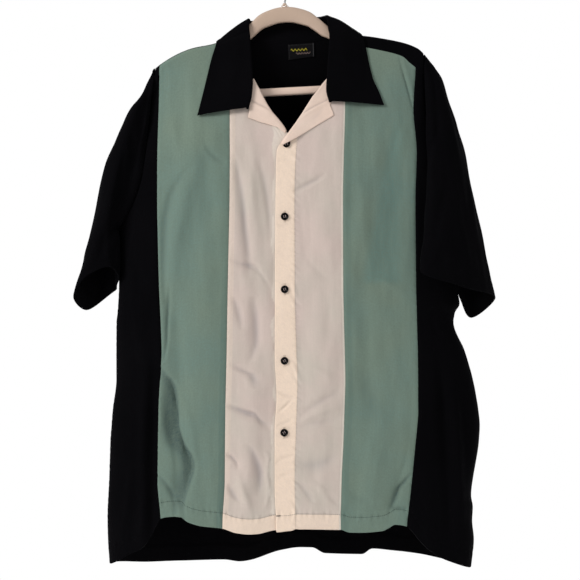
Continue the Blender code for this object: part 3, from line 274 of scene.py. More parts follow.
# Lapels, from the top of the fold down to the crossing: the fold, the outer edge and how far the turned-out
# leaf lies off the front (the lowest rows of the left one pass over the top button)
LAPEL_COLUMNS = ("fold_z", "fold_x", "edge_z", "edge_x", "off")
LAPELS = {
    RIGHT: table(LAPEL_COLUMNS, (
        (-171, -46, -174, -58, 2), (-180, -41.5, -190, -60, 2),
        (-188, -37, -204, -56, 2), (-200, -31.5, -218, -52.2, 2),
        (-211, -26, -232, -54.4, 2), (-223.5, -18, -239.4, -36, 2),
        (-234.5, -8.5, -243.8, -20, 2), (-242.2, -2.5, -247.3, -10, 2),
        (-247.3, 1, -251.3, -5, 2), (-252.4, 3.4, -255, 0, 2),
    )),
    LEFT: table(LAPEL_COLUMNS, (
        (-171, 63.6, -174, 72, 2), (-180, 56.3, -190, 73, 2),
        (-190, 49.5, -204, 70, 2), (-199.5, 42, -213.5, 68.4, 2),
        (-211, 35, -229, 74, 2), (-225, 26.5, -243.5, 50, 2),
        (-240, 16.6, -256, 30, 2.4), (-254.3, 6.4, -264.8, 15, 4.2),
        (-262.4, 0.5, -269.3, 6.6, 5.2), (-268.4, -3.8, -272.2, 0.6, 5), (-271.2, -5.8, -274, -2.2, 4),
    )),
}

# Hanger's arm from its middle outward: its upper edge and its height, in the hanger's own frame
HANGER_ARM = table(("across", "top", "tall"), (
    (0, -57.2, 24), (12, -58.6, 23.6), (24, -61.6, 24), (36, -66.4, 24.2), (46, -73.8, 24.2),
    (57, -83.6, 23.6), (69, -96.5, 16), (81, -106.2, 14.5), (96, -108.4, 15),
    (118, -112.6, 15.5), (147, -117.6, 15.5), (165, -123.2, 15), (180, -130.6, 14), (190, -138, 13)))
# Middle of the bend from the arm's end to the trouser bar
HANGER_BEND = ((199, -150), (203, -160), (203.5, -170), (199, -180), (189, -186))

# Columns of the back across the neck, where the collar is sewn on point for point
NECK_COLUMNS = (-88, -84, -80, -75, -60, -36, -10, 18, 44, 65, 80, 84, 88, 91.5,
                98)


def smooth_value(keys, values, at):
    """Value on a smooth curve through a column of a table; it never swings past its rows."""
    at = np.clip(np.asarray(at, dtype=float), keys[0], keys[-1])
    step = np.diff(keys)
    slope = np.diff(values) / step
    before, after = slope[:-1], slope[1:]
    same_way = before * after > 0
    total = np.where(same_way, before + after, 1.0)
    tangent = np.concatenate(([slope[0]], np.where(same_way, 2 * before * after / total, 0.0), [slope[-1]]))
    row = np.clip(np.searchsorted(keys, at) - 1, 0, len(step) - 1)
    part = (at - keys[row]) / step[row]
    rest = 1 - part
    return (rest * rest * ((1 + 2 * part) * values[row] + part * step[row] * tangent[row])
            + part * part * ((3 - 2 * part) * values[row + 1] - rest * step[row] * tangent[row + 1]))


def read(source, column, at):
    keys = next(iter(source.values()))
    return smooth_value(keys, source[column], at)


def ease(value):
    """Smooth step from 0 to 1."""
    value = np.clip(value, 0.0, 1.0)
    return value * value * (3 - 2 * value)


def ramp(value, span):
    """0 at the first end of a span and 1 at the other, smoothly."""
    start, end = span
    return ease((value - start) / (end - start))


def bell(value):
    """1 at nought, falling to 0 on both sides of it."""
    return np.exp(-value ** 2)


def side_at(side, height):
    """Side seam below the underarm point, armhole above it."""
    name = SIDE_NAMES[side]
    return read(SEAMS, f"{name}_side", height) - side * read(ARMHOLES, name, height)


def drop_along(along):
    """Drop below the shoulder line at a distance along the cloth from it."""
    quarter = SHOULDER_RADIUS * math.pi / 2
    bend = SHOULDER_RADIUS * (1 - np.cos(np.minimum(along, quarter) / SHOULDER_RADIUS))
    return bend + np.maximum(along - quarter, 0.0)


def along_drop(drop):
    """Distance along the cloth at a drop below the shoulder line."""
    quarter = SHOULDER_RADIUS * math.pi / 2
    bend = SHOULDER_RADIUS * np.arccos(1 - np.minimum(drop / SHOULDER_RADIUS, 1.0))
    return np.where(drop < SHOULDER_RADIUS, bend, quarter + drop - SHOULDER_RADIUS)


def fold_depth(face, x, z):
    """Largest folds of the front or the back, summed."""
    folds = FRONT_FOLDS if face == FRONT else BACK_FOLDS
    total = 0.0
    for top, top_x, bottom, bottom_x, width, depth in zip(*folds.values()):
        part = (top - z) / (top - bottom)
        middle = top_x + (bottom_x - top_x) * part
        envelope = ease(part * 3) * ease((1 - part) * 4)
        total = total + depth * envelope * np.exp(-((x - middle) / width) ** 2)
    return total


def depth_at(face, x, z):
    """How far the cloth's outer side lies from the hanger's plane."""
    drop = np.maximum(read(SHOULDER, "height", x) - z, 0.0)
    right, left = read(SEAMS, "right_side", z), read(SEAMS, "left_side", z)
    across = np.minimum(np.abs(2 * x - left - right) / (left - right), 1.0)
    bend = SHOULDER_RADIUS * np.sqrt(1 - (1 - np.minimum(drop / SHOULDER_RADIUS, 1.0)) ** 2)
    swell = (FULL_DEPTH[face] - SHOULDER_RADIUS) * ease((drop - SHOULDER_RADIUS) / SPREAD_DROP)
    spread = (swell + fold_depth(face, x, z)) * np.sqrt(1 - across ** SIDE_ROUNDNESS)
    return bend * np.sqrt(1 - across ** SHOULDER_ROUNDNESS) + spread + GAP / 2


def on_cloth(face, x, z, off=0.0):
    """Point on the body's outer side, moved off it; off below zero is inside the shirt."""
    return np.array((x, face * (depth_at(face, x, z) + off), z))


# ------------------------------------------------------------------------------------ creases and ripples

# Creases of the front, seen from the front: each runs from its top to its foot, bowed sideways, and is soft
# on both sides.  A depth above zero stands out, and one below zero is a trough.
CREASE = ("top_z", "top_x", "foot_z", "foot_x", "bow", "width", "depth")
FRONT_CREASES = table(CREASE, (
    (-170, -150, -330, -168, 5, 8, -1.6), (-205, -172, -300, -150, -4, 7, 1.2),
    (-270, -112, -455, -140, 6, 13, -1.8), (-380, -120, -600, -104, -8, 15, 1.7),
    (-470, -183, -545, -178, 2, 6, -1.8), (-600, -181, -815, -152, 14, 8, -2.6),
    (-640, -160, -790, -128, 8, 7, 1.6), (-690, -126, -845, -112, -6, 10, -1.7),
    (-560, -96, -740, -108, 4, 12, -1.2), (-262, -66, -420, -34, 8, 9, -1.3),
    (-330, -78, -500, -58, -6, 12, 1.4), (-440, -70, -492, -22, 5, 6, -1.3),
    (-500, -48, -655, -66, 7, 10, -1.5), (-606, -74, -640, -24, -4, 6, 1.2),
    (-668, -70, -700, -18, 5, 6.5, -1.4), (-710, -40, -852, -62, -7, 9, 1.6),
    (-730, -70, -850, -80, 3, 7, -1.4), (-300, 44, -445, 62, -5, 10, 1.2),
    (-436, 30, -482, 78, -5, 6, -1.3), (-470, 62, -640, 50, 6, 11, -1.5), (-604, 34, -634, 80, 4, 6, 1.1),
    (-664, 28, -694, 76, -4, 7, -1.3), (-700, 60, -850, 34, 8, 9, 1.5), (-735, 40, -848, 66, -4, 7, -1.3),
    (-138, 177, -222, 194, 3, 3.4, -1.3), (-160, 150, -290, 178, 5, 7, 1.2),
    (-225, 182, -330, 158, -6, 8, -1.5), (-260, 120, -470, 130, -8, 14, 1.6),
    (-278, 172, -478, 158, 5, 20, -2.4), (-470, 126, -505, 186, 6, 7, 1.1),
    (-500, 108, -690, 122, 7, 12, -1.6), (-560, 176, -760, 160, -9, 12, 1.7),
    (-720, 186, -812, 158, 4, 5, -2), (-716, 150, -800, 130, -3, 6, 1.3),
    (-812, 158, -822, 184, 2, 4, -1.4), (-740, 110, -850, 98, 5, 9, -1.3),
    (-410, -244, -520, -212, 6, 8, -2.4), (-440, -232, -610, -206, -8, 9, 2.2),
    (-700, -206, -870, -236, 8, 9, -3), (-730, -230, -890, -252, 5, 8, 2.4),
    (-505, 232, -562, 247, 3, 5, -2.4), (-532, 219, -566, 229, 2, 4.5, -2),
    (-570, 214, -700, 222, 6, 9, 2.2), (-640, 262, -800, 274, 5, 6, -2.2), (-770, 226, -880, 218, -5, 8, 2),
))
BACK_CREASES = table(CREASE, (
    (-150, -176, -360, -150, 8, 9, -2), (-180, -120, -420, -110, -9, 14, 1.8),
    (-160, -36, -380, -20, 6, 16, -1.7), (-175, 64, -400, 40, -7, 15, 1.8),
    (-150, 150, -330, 132, 6, 9, -1.9), (-230, 186, -470, 214, 9, 9, 2.2),
    (-360, -200, -560, -232, -6, 9, -2.5), (-430, -150, -700, -128, 10, 14, 1.9),
    (-470, -70, -760, -60, -8, 13, -2), (-440, 10, -700, 26, 8, 14, 1.7),
    (-500, 96, -780, 84, -9, 12, -2.1), (-480, 170, -740, 186, 8, 11, 2),
    (-560, 236, -800, 250, 7, 9, -2.6), (-640, -210, -890, -196, 9, 10, 2.4),
    (-700, -110, -905, -124, -6, 10, -2), (-730, -24, -890, -8, 5, 11, 1.7), (-720, 56, -895, 66, 5, 9, -2),
    (-760, 140, -892, 132, -4, 10, 1.9), (-610, -170, -640, -110, 8, 7, -1.2),
    (-420, 110, -452, 190, -7, 8, 1.2),
))
SLEEVE_CREASES = {
    (RIGHT, FRONT): table(CREASE, (
        (-186, -206, -385, -252, 7, 5, -3), (-200, -220, -300, -246, -4, 7, 2),
        (-268, -240, -362, -254, 3, 5, -2.4), (-272, -262, -350, -276, -3, 5, 1.8),
        (-380, -246, -436, -266, 3, 5, 2), (-395, -268, -470, -292, 4, 6, -1.8),
        (-400, -292, -450, -306, 3, 5, 1.4),
    )),
    (RIGHT, BACK): table(CREASE, (
        (-190, -208, -330, -228, 5, 6, -2.6), (-230, -232, -380, -262, -6, 7, 2.2),
        (-320, -244, -440, -290, 7, 7, -2.4), (-390, -262, -470, -276, -3, 6, 1.8),
        (-420, -296, -490, -306, 3, 5, -1.6),
    )),
    (LEFT, FRONT): table(CREASE, (
        (-150, 220, -235, 229, 4, 4.5, -2.4), (-215, 232, -300, 214, 4, 6, -2.4),
        (-205, 246, -330, 262, -5, 9, 1.8), (-268, 226, -345, 216, -3, 5, 2),
        (-300, 240, -400, 222, 6, 7, -2.2), (-350, 268, -450, 282, -5, 9, -1.7),
        (-390, 232, -460, 214, 3, 6, 1.8), (-410, 258, -478, 250, 4, 8, -1.5),
    )),
    (LEFT, BACK): table(CREASE, (
        (-160, 222, -290, 234, 5, 6, -2.4), (-210, 246, -360, 262, -6, 8, 2.2),
        (-280, 228, -390, 246, 6, 7, -2.4), (-340, 276, -450, 292, 5, 7, 1.9),
        (-380, 254, -440, 262, -3, 6, -1.8),
    )),
}
LAPEL_CREASES = table(CREASE, (
    (-201, -64, -224, -13, 1, 1.2, -1.7), (-205, -62, -228, -13, 1, 2.4, 0.9),
    (-200, 76, -234, 17, -2, 1.2, -1.7), (-205, 74, -238, 18, -2, 2.6, 0.9),
    (-214, 60, -240, 36, 2, 5, -0.6),
))
COLLAR_CREASES = table(CREASE, (
    (-120, -72, -205, -84, 3, 7, 0.7), (-130, -98, -214, -108, -2, 6, -0.6),
    (-120, 92, -196, 104, -3, 7, 0.7), (-140, 116, -204, 124, 2, 6, -0.6),
))


# Creases of the front that wander: how wide each is on its right and on its left (or above and below, where
# it runs sideways), its depth, and the places it runs through
FRONT_PATHS = (
    (15, 5, -10, ((-192, -600), (-182, -617), (-171.5, -628), (-166, -643), (-165, -667), (-165.5, -691),
     (-156.5, -721), (-143, -742), (-140, -757), (-144.5, -775), (-150.5, -796), (-158, -830))),
    (5, 2.2, -3.2, ((-186, -606), (-171.5, -624), (-165, -643), (-163.5, -667), (-163, -691), (-154, -721),
     (-141.5, -742), (-139, -757), (-143, -775), (-149, -796))),
    (7, 6, 1.6, ((-176, -720), (-168, -748), (-166, -770), (-168, -790))),
    (2.2, 2, -1.5, ((-164, -806), (-165, -822), (-164, -846))),
    (2.4, 2.4, -1.6, ((-152.5, -808), (-151, -824), (-148, -850))),
    (2.2, 2.2, 1.2, ((-158, -808), (-158, -824), (-156, -848))),
    (2.2, 2.2, -1, ((-102, -820), (-101, -836), (-101, -858))),
    (3, 2.2, -3, ((-172.5, -480), (-173.5, -504), (-175.5, -545), (-176, -566), (-181.5, -600))),
    (13, 12, 2.6, ((-117, -262), (-132, -310), (-152, -372), (-165, -440), (-171, -510))),
    (6, 8, -3.4, ((-140, -300), (-172, -352), (-181, -400), (-181.5, -450), (-179, -520))),
    (5, 5, -2, ((-121, -270), (-112, -284), (-101, -294), (-86, -302))),
    (6, 4, -3.4, ((-190, -766), (-178, -781), (-170, -792), (-165, -806))),
    (7, 5, -3.4, ((-76, -285), (-68, -320), (-63, -352), (-59, -392), (-54, -440), (-52, -476))),
    (8, 8, 1.8, ((-46, -270), (-48, -330), (-44, -400), (-38, -460))),
    (5, 6, -2.4, ((-40, -290), (-30, -330), (-23, -380), (-20, -420))),
    (4, 4, -2.4, ((-82, -446), (-64, -452), (-44, -458), (-30, -474), (-21, -488))),
    (7, 6, -3.4, ((-46, -500), (-43, -530), (-42, -565), (-50, -600))),
    (5, 6, -2.6, ((-76, -500), (-70, -520), (-64, -550))),
    (6, 9, -3.2, ((-80, -600), (-64, -612), (-50, -618), (-42, -640))),
    (3.4, 6, -4.4, ((-88, -664), (-74, -668), (-58, -674), (-44, -678), (-34, -688), (-20, -696))),
    (3.4, 4, -3.4, ((-88, -738), (-80, -741), (-74, -747), (-68, -757))),
    (8, 6, 3.4, ((-72, -756), (-66, -784), (-56, -806), (-50, -834))),
    (8, 6, -4, ((-54, -720), (-44, -740), (-36, -770), (-38, -800))),
    (5, 6, -3, ((-84, -780), (-78, -796), (-70, -806), (-62, -812))),
    (3.2, 3.2, 2.4, ((-31, -730), (-24, -742), (-26, -766), (-23, -790), (-30, -822))),
    (4, 4, -2.4, ((12, -344), (28, -336), (46, -327), (62, -318))),
    (7, 6, -1.9, ((22, -680), (38, -668), (58, -656), (88, -640))),
    (5, 5, 1.6, ((22, -690), (42, -678), (64, -671), (84, -668))),
    (5, 6, -1.6, ((18, -696), (40, -691), (60, -688), (88, -684))),
    (11, 13, -2.6, ((14, -746), (32, -754), (52, -752), (84, -738))),
    (5, 6, -2.2, ((16, -776), (26, -784), (34, -796), (44, -812))),
    (7, 7, 1.8, ((40, -776), (56, -790), (72, -812))), (6, 8, -1.8, ((60, -790), (72, -806), (84, -816))),
    (5, 4, -5, ((190, -766), (180, -779), (171, -789), (165, -806), (158, -822))),
    (2.2, 2.2, -2.4, ((158, -816), (170, -818), (188, -818))),
    (16, 18, -2, ((112, -600), (124, -640), (134, -668), (138, -700))),
    (9, 11, -1.8, ((96, -796), (112, -804), (132, -808))),
    (1.4, 1.4, -2.3, ((175, -134), (180, -158), (184.5, -176), (189, -194), (194, -216))),
    (5, 4, 1.3, ((180, -134), (185, -158), (189.5, -176), (194, -194), (198, -214))),
    (2.4, 2.4, -1.4, ((-12, -392), (-2, -394), (10, -391))),
    (2, 2, -1.6, ((-12, -676), (-2, -668), (13, -654))),
    (4, 3, -1.6, ((-14, -640), (-4, -646), (6, -650), (20, -652))),
    (3, 3, -1.4, ((-14, -750), (-4, -744), (16, -738))),
    (2.6, 2.6, -1.2, ((-12, -775), (0, -768), (16, -766))),
    (2.6, 2.6, -1.2, ((-12, -300), (-2, -296), (15, -298))),
    (2.2, 2.2, -1.6, ((-12, -696), (0, -690), (14, -684))),
    (1.4, 1.4, -0.7, ((-11, -246), (-6, -254), (0, -264))),
    (1.4, 1.4, -0.7, ((-15.5, -247), (-10, -255), (-4, -266))),
)


def wander(paths, x, z):
    """Height of the creases that run through given places."""
    total = np.zeros_like(x)
    for before, after, depth, places in paths:
        across, height = np.array(places).T * MM
        along, aside, keys, values = z, x, height, across
        if np.ptp(across) > np.ptp(height):
            along, aside, keys, values = x, -z, across, -height
        order = np.argsort(keys)
        keys, values = keys[order], values[order]
        part = np.clip((along - keys[0]) / (keys[-1] - keys[0]), 0.0, 1.0)
        away = aside - smooth_value(keys, values, along)
        away = away / (np.where(away < 0, before, after) * MM)
        total += depth * MM * np.sin(math.pi * part) ** 0.7 * np.exp(-np.abs(away) ** 1.8)
    return total


def relief(creases, x, z):
    """Height of the creases over a point, seen along Y."""
    total = np.zeros_like(x)
    for top_z, top_x, foot_z, foot_x, bow, width, depth in zip(*creases.values()):
        run_x, run_z = foot_x - top_x, foot_z - top_z
        length = math.hypot(run_x, run_z)
        part = ((x - top_x) * run_x + (z - top_z) * run_z) / length ** 2
        aside = ((x - top_x) * run_z - (z - top_z) * run_x) / length
        inside = np.clip(part, 0.0, 1.0)
        aside = aside + bow * 4 * inside * (1 - inside)
        wide = width * (0.75 + 0.5 * inside)
        total += depth * np.sin(math.pi * inside) ** 0.8 * np.exp(-np.abs(aside / wide) ** 1.7)
    return total


def ripples(seed, wavelength, lean=0.3, count=16):
    """Soft uneven folds of about one height, mostly upright, as a function of x and z."""
    source = np.random.default_rng(seed)
    turn = source.normal(0.0, lean, count)
    reach = 2 * math.pi / (wavelength * source.uniform(0.7, 1.6, count))
    phase = source.uniform(0.0, 2 * math.pi, count)

    def height(x, z):
        waves = [math.sqrt(2 / count) * np.sin(k * (x * math.cos(a) + 0.35 * z * math.sin(a)) + p)
                 for k, a, p in zip(reach, turn, phase)]
        return sum(waves)
    return height


CREASE_GAIN = {FRONT: 0.75, BACK: 1.6}
BROAD = {FRONT: ripples(3, 120 * MM), BACK: ripples(11, 130 * MM)}
NARROW = {FRONT: ripples(5, 34 * MM, 0.7), BACK: ripples(17, 40 * MM, 0.7)}
PATCHES = ripples(23, 210 * MM, 1.2)
GRAIN = ripples(29, 13 * MM, 1.3, 24)
CALM_TOP = (-115 * MM, -190 * MM)       # the folds grow over this stretch below the shoulders
CALM_BUTTON = 15 * MM                   # and are calm this far round a button
PLACKET_MIDDLE = 2 * MM
PLACKET_REACH = 17 * MM


def near_buttons(x, z):
    """1 at the buttons, falling to 0 round them."""
    spots = np.array(BUTTON_PLACES) * MM
    total = sum(np.exp(-((x - across) ** 2 + (z - up) ** 2) / CALM_BUTTON ** 2) for across, up in spots)
    return np.minimum(total, 1.0)


def body_folds(face, x, z):
    """How far the dressed cloth of the body lies off the smooth form."""
    creases = FRONT_CREASES if face == FRONT else BACK_CREASES
    patch = ease(0.5 + 0.5 * PATCHES(x, z))
    soft = 0.55 * MM * BROAD[face](x, z) + 0.45 * MM * NARROW[face](x, z) * patch + 0.07 * MM * GRAIN(x, z)
    height = (CREASE_GAIN[face] * relief(creases, x, z) + soft) * ramp(z, CALM_TOP)
    if face == BACK:
        return height
    placket = np.exp(-((x - PLACKET_MIDDLE) / PLACKET_REACH) ** 4) * ramp(z, (-230 * MM, -265 * MM))
    return (height * (1 - 0.75 * placket) + wander(FRONT_PATHS, x, z)) * (1 - near_buttons(x, z))


# -------------------------------------------------------------------------------------------------- meshes

def unit(vector):
    return vector / np.linalg.norm(vector)


def make_mesh(name, vertices, faces):
    mesh = bpy.data.meshes.new(name)
    mesh.from_pydata(np.asarray(vertices).tolist(), [], faces)
    return mesh


def add_object(name, data):
    item = bpy.data.objects.new(name, data)
    bpy.context.scene.collection.objects.link(item)
    return item


def add_piece(name, mesh, look, sharp, node=None):
    """Visible piece, for a node or of its own; edges that turn by more than sharp degrees look sharp."""
    item = add_object(name, mesh)
    material, slot = LOOKS[look]
    mesh.materials.append(material)
    mesh.shade_smooth()
    mesh.set_sharp_from_angle(angle=math.radians(sharp))
    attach(item, "root")
    if node:
        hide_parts(node)
    return item


def ring(centre, radius, side, up, steps):
    """Points round a centre, from the direction side toward the direction up."""
    turns = (np.arange(steps) * 2 * math.pi / steps)[:, None]
    return np.array(centre) + radius * (np.array(side) * np.cos(turns) + np.array(up) * np.sin(turns))


def rings_along(line, radii, across, steps):
    """Rings round a line of points that runs square to the direction across."""
    rings = []
    for index, (place, radius) in enumerate(zip(line, radii)):
        ahead = unit(line[min(index + 1, len(line) - 1)] - line[max(index - 1, 0)])
        rings.append(ring(place, radius, unit(np.cross(ahead, across)), -np.array(across), steps))
    return rings


def tubes_mesh(name, tubes):
    """Mesh of tubes, each a list of rings that is closed flat at both ends."""
    vertices, faces = [], []
    for rings in tubes:
        steps, first = len(rings[0]), len(vertices)
        last = first + (len(rings) - 1) * steps
        for start in range(first, last, steps):
            for k in range(steps):
                n = (k + 1) % steps
                faces.append((start + k, start + n, start + steps + n, start + steps + k))
        faces.append(tuple(reversed(range(first, first + steps))))
        faces.append(tuple(range(last, last + steps)))
        vertices.extend(np.concatenate(rings))
    return make_mesh(name, vertices, faces)


def turned_mesh(name, profile, steps):
    """Closed mesh turned about Z from a profile down its outer side, with both ends on the axis."""
    vertices = [(0.0, 0.0, profile[0][1])]
    for radius, height in profile[1:-1]:
        vertices.extend(ring((0.0, 0.0, height), radius, (1.0, 0.0, 0.0), (0.0, 1.0, 0.0), steps))
    vertices.append((0.0, 0.0, profile[-1][1]))
    last = len(vertices) - 1
    faces = []
    for k in range(steps):
        n = (k + 1) % steps
        faces.append((0, 1 + k, 1 + n))
        for start in range(1, last - steps, steps):
            faces.append((start + k, start + steps + k, start + steps + n, start + n))
        faces.append((last - steps + k, last, last - steps + n))
    return make_mesh(name, vertices, faces)


def grid_faces(names):
    """Quads over a grid of point numbers."""
    corners = names[:-1, :-1], names[:-1, 1:], names[1:, 1:], names[1:, :-1]
    return np.stack(corners, axis=-1).reshape(-1, 4)


# ------------------------------------------------------------------------------------------- cloth as shells

def point_normals(points, faces):
    mesh = make_mesh("normals", points, faces.tolist())
    mesh.update()
    found = np.empty(len(points) * 3)
    mesh.vertex_normals.foreach_get("vector", found)
    bpy.data.meshes.remove(mesh)
    return found.reshape(-1, 3)


def lengths(grid, axis):
    """Distances along a grid from its first row (axis 0) or column (axis 1), and from its last one."""
    steps = np.linalg.norm(np.diff(grid, axis=axis), axis=2)
    start = np.zeros_like(np.take(steps, [0], axis=axis))
    distance = np.cumsum(np.concatenate((start, steps), axis=axis), axis=axis)
    return distance, np.take(distance, [-1], axis=axis) - distance


class Sheet:
    """A grid of points on the outer side of a piece of cloth.

    Points of the grid that are one and the same have one number in names, and flip turns the outer side over.
    from_top, from_foot, from_first and from_last are the distances along the cloth from its first and last
    row and from its first and last column.
    """

    def __init__(self, grid, names=None, flip=False):
        self.shape = grid.shape[:2]
        if names is None:
            names = np.arange(grid[:, :, 0].size).reshape(self.shape)
        self.used, numbers = np.unique(names, return_inverse=True)
        self.numbers = numbers.reshape(self.shape)
        self.points = grid.reshape(-1, 3)[self.used]
        faces = grid_faces(self.numbers)
        self.faces = faces[:, ::-1] if flip else faces
        self.normals = point_normals(self.points, self.faces)
        self.from_top, self.from_foot = lengths(grid, 0)
        self.from_first, self.from_last = lengths(grid, 1)
        self.marks = {}

    def flat(self, values):
        """One value for each point, from a grid of values or from a single one."""
        return np.broadcast_to(values, self.shape).reshape(-1)[self.used]

    def move(self, height):
        """Moves the cloth along its normals by a grid of heights."""
        self.points = self.points + self.normals * self.flat(height)[:, None]
        self.normals = point_normals(self.points, self.faces)

    def grid(self):
        return self.points[self.numbers]

    def normal_grid(self):
        return self.normals[self.numbers]

    def places(self):
        """Grids of x, y and z."""
        return np.moveaxis(self.grid(), 2, 0)


def rim_edges(faces):
    """Directed edges that only one face has."""
    edges = np.stack((faces, np.roll(faces, -1, axis=1)), axis=-1).reshape(-1, 2)
    edges = edges[edges[:, 0] != edges[:, 1]]
    size = int(faces.max()) + 1
    forward, backward = edges[:, 0] * size + edges[:, 1], edges[:, 1] * size + edges[:, 0]
    return edges[~np.isin(forward, backward)]


RIM_BULGE = 0.35                # how far a rim stands out, in parts of its thickness


def make_shell(name, sheet, look, thickness=CLOTH, node=None):
    """Closes a sheet into a shell with a rounded rim.  The thickness is one number or a grid of them."""
    points, normals, faces = sheet.points, sheet.normals, sheet.faces
    count = len(points)
    thick = sheet.flat(thickness)[:, None]
    inner = points - normals * thick
    outward = np.zeros_like(points)
    edges = np.stack((faces, np.roll(faces, -1, axis=1)), axis=-1).reshape(-1, 2)
    for a, b in (edges.T, edges.T[::-1]):
        np.add.at(outward, a, points[a] - points[b])
    rim_lines = rim_edges(faces)
    on_rim = np.unique(rim_lines)
    away = outward[on_rim]
    away -= normals[on_rim] * np.sum(away * normals[on_rim], axis=1)[:, None]
    away /= np.maximum(np.linalg.norm(away, axis=1), 1e-9)[:, None]
    middle = (points[on_rim] + inner[on_rim]) / 2 + away * (thick[on_rim] * RIM_BULGE)
    place = np.zeros(count, dtype=int)
    place[on_rim] = 2 * count + np.arange(len(on_rim))
    a, b = rim_lines.T
    outer_rim = np.stack((b, a, place[a], place[b]), axis=1)
    inner_rim = np.stack((place[b], place[a], a + count, b + count), axis=1)
    every = np.concatenate((faces, faces[:, ::-1] + count, outer_rim, inner_rim))
    mesh = make_mesh(name, np.concatenate((points, inner, middle)), every.tolist())

    def both_sides(values):
        return np.concatenate((values, values, values[on_rim]))
    # Texture coordinates in metres along the cloth, so that the weave follows it
    across = sheet.flat(sheet.from_first - sheet.from_first[:, -1:] / 2)
    cloth = both_sides(np.column_stack((across, -sheet.flat(sheet.from_top))))
    corners = np.empty(len(mesh.loops), dtype=int)
    mesh.loops.foreach_get("vertex_index", corners)
    mesh.uv_layers.new(name="cloth").data.foreach_set("uv", cloth[corners].reshape(-1))
    for mark, values in sheet.marks.items():
        layer = mesh.attributes.new(mark, "FLOAT", "POINT")
        layer.data.foreach_set("value", both_sides(sheet.flat(values)))
    mesh.validate()
    return add_piece(name, mesh, look, 60, node)


def dress(node, sheet, look, thickness=CLOTH, ending="cloth"):
    """Closes a sheet into the piece that stands for a node."""
    item = make_shell(f"{node}_{ending}", sheet, look, thickness, node)


# ----------------------------------------------------------------------------------------------- stitches

# Pitch, length and radius of the stitches
TOPSTITCH = (3.0 * MM, 2.3 * MM, 0.28 * MM)
TACK = (1.0 * MM, 2.6 * MM, 0.6 * MM)
LABEL_STITCH = (2.0 * MM, 1.5 * MM, 0.16 * MM)
BUTTONHOLE_STITCH = (0.75 * MM, 0.7 * MM, 0.42 * MM)
STITCH_LIFT = 0.1 * MM


def line_on(sheet, rows, columns, lift=0.0):
    """Points and normals on a sheet at fractional rows and columns."""
    grid, normals = sheet.grid(), sheet.normal_grid()
    rows = np.clip(rows, 0, grid.shape[0] - 1.0001)
    columns = np.clip(columns, 0, grid.shape[1] - 1.0001)
    r, c = rows.astype(int), columns.astype(int)
    dr, dc = (rows - r)[:, None], (columns - c)[:, None]

    def blend(values):
        top = values[r, c] * (1 - dc) + values[r, c + 1] * dc
        low = values[r + 1, c] * (1 - dc) + values[r + 1, c + 1] * dc
        return top * (1 - dr) + low * dr
    normal = blend(normals)
    normal /= np.linalg.norm(normal, axis=1)[:, None]
    return blend(grid) + normal * lift, normal


def edge_line(sheet, edge, distance, lift=STITCH_LIFT, part=(0.0, 1.0)):
    """Points and normals along an edge of a sheet (top, foot, first or last), at a distance from it."""
    away = getattr(sheet, f"from_{edge}")
    down = edge in ("first", "last")
    away = away.T if down else away
    order = -1 if edge in ("foot", "last") else 1
    count = away.shape[1]
    first, last = (int(end * (count - 1)) for end in part)
    along = np.arange(first, last + 1)
    numbers = np.arange(len(away), dtype=float)[::order]
    found = np.array([np.interp(distance, away[::order, place], numbers) for place in along])
    rows, columns = (along.astype(float), found) if down else (found, along.astype(float))
    return line_on(sheet, rows, columns, lift)


def make_stitches(name, lines, look, stitch=TOPSTITCH):
    """Lock stitches along lines of (points, normals): slim spindles that dip into the cloth at both ends."""
    pitch, length, radius = stitch
    vertices, faces = [], []
    for points, normals in lines:
        keys = np.concatenate(([0.0], np.cumsum(np.linalg.norm(np.diff(points, axis=0), axis=1))))

        def at(distance, values):
            return np.array([np.interp(distance, keys, values[:, axis]) for axis in range(3)])
        for centre in np.arange(pitch / 2, keys[-1], pitch):
            start, end = at(centre - length / 2, points), at(centre + length / 2, points)
            up = at(centre, normals)
            side = np.cross(up, end - start)
            side /= max(np.linalg.norm(side), 1e-9)
            base = len(vertices)
            vertices.append(start - up * radius)
            for part in (0.22, 0.78):
                middle = start + (end - start) * part
                vertices += [middle + way * radius for way in (up, side, -up, -side)]
            vertices.append(end - up * radius)
            for k in range(4):
                n = (k + 1) % 4
                faces.append((base, base + 1 + k, base + 1 + n))
                faces.append((base + 1 + k, base + 5 + k, base + 5 + n, base + 1 + n))
                faces.append((base + 5 + k, base + 9, base + 5 + n))
    add_piece(name, make_mesh(name, vertices, faces), look, 80)


PUCKER_WAVES = (8.5 * MM, 13.1 * MM)


def groove(distance, width, depth, pucker=0.0, along=0.0):
    """Dent of a line of stitches or a seam, at a distance from it, with the pucker between the stitches."""
    first, second = (2 * math.pi / length for length in PUCKER_WAVES)
    wave = np.sin(along * first) + 0.7 * np.sin(along * second + 1.0)
    return pucker * wave * bell(distance / (width * 3.2)) - depth * bell(distance / width)


# ---------------------------------------------------------------------------------------------- body panels

BEND_STEPS = {FRONT: 8, BACK: 16}
WRAP_STEPS = 5
UPPER_STEPS = {FRONT: 130, BACK: 92}
LOWER_STEPS = {FRONT: 235, BACK: 165}
PAST_EDGE = 8.0 * MM
FIRST_HEIGHT = -300.0 * MM
HEM_FOLD = 24.0 * MM            # the hem is turned up this far
HEM_STITCH = 22.5 * MM          # and stitched here
HEM_THICK = 0.9 * MM            # what the turned-up layer adds on the inside
SEAM_ALLOWANCE = 8.6 * MM
ALLOWANCE_EDGE = 0.6 * MM       # the edge of a layer behind the cloth shows this softly
HEM_DENT = (0.4 * MM, 0.22 * MM)        # depth and pucker of the hem's stitch line
FRONT_HEM_DENT = (0.5 * MM, 0.45 * MM)
CORNER_DROP = 2.4 * MM          # the placket's bottom corner hangs this much lower

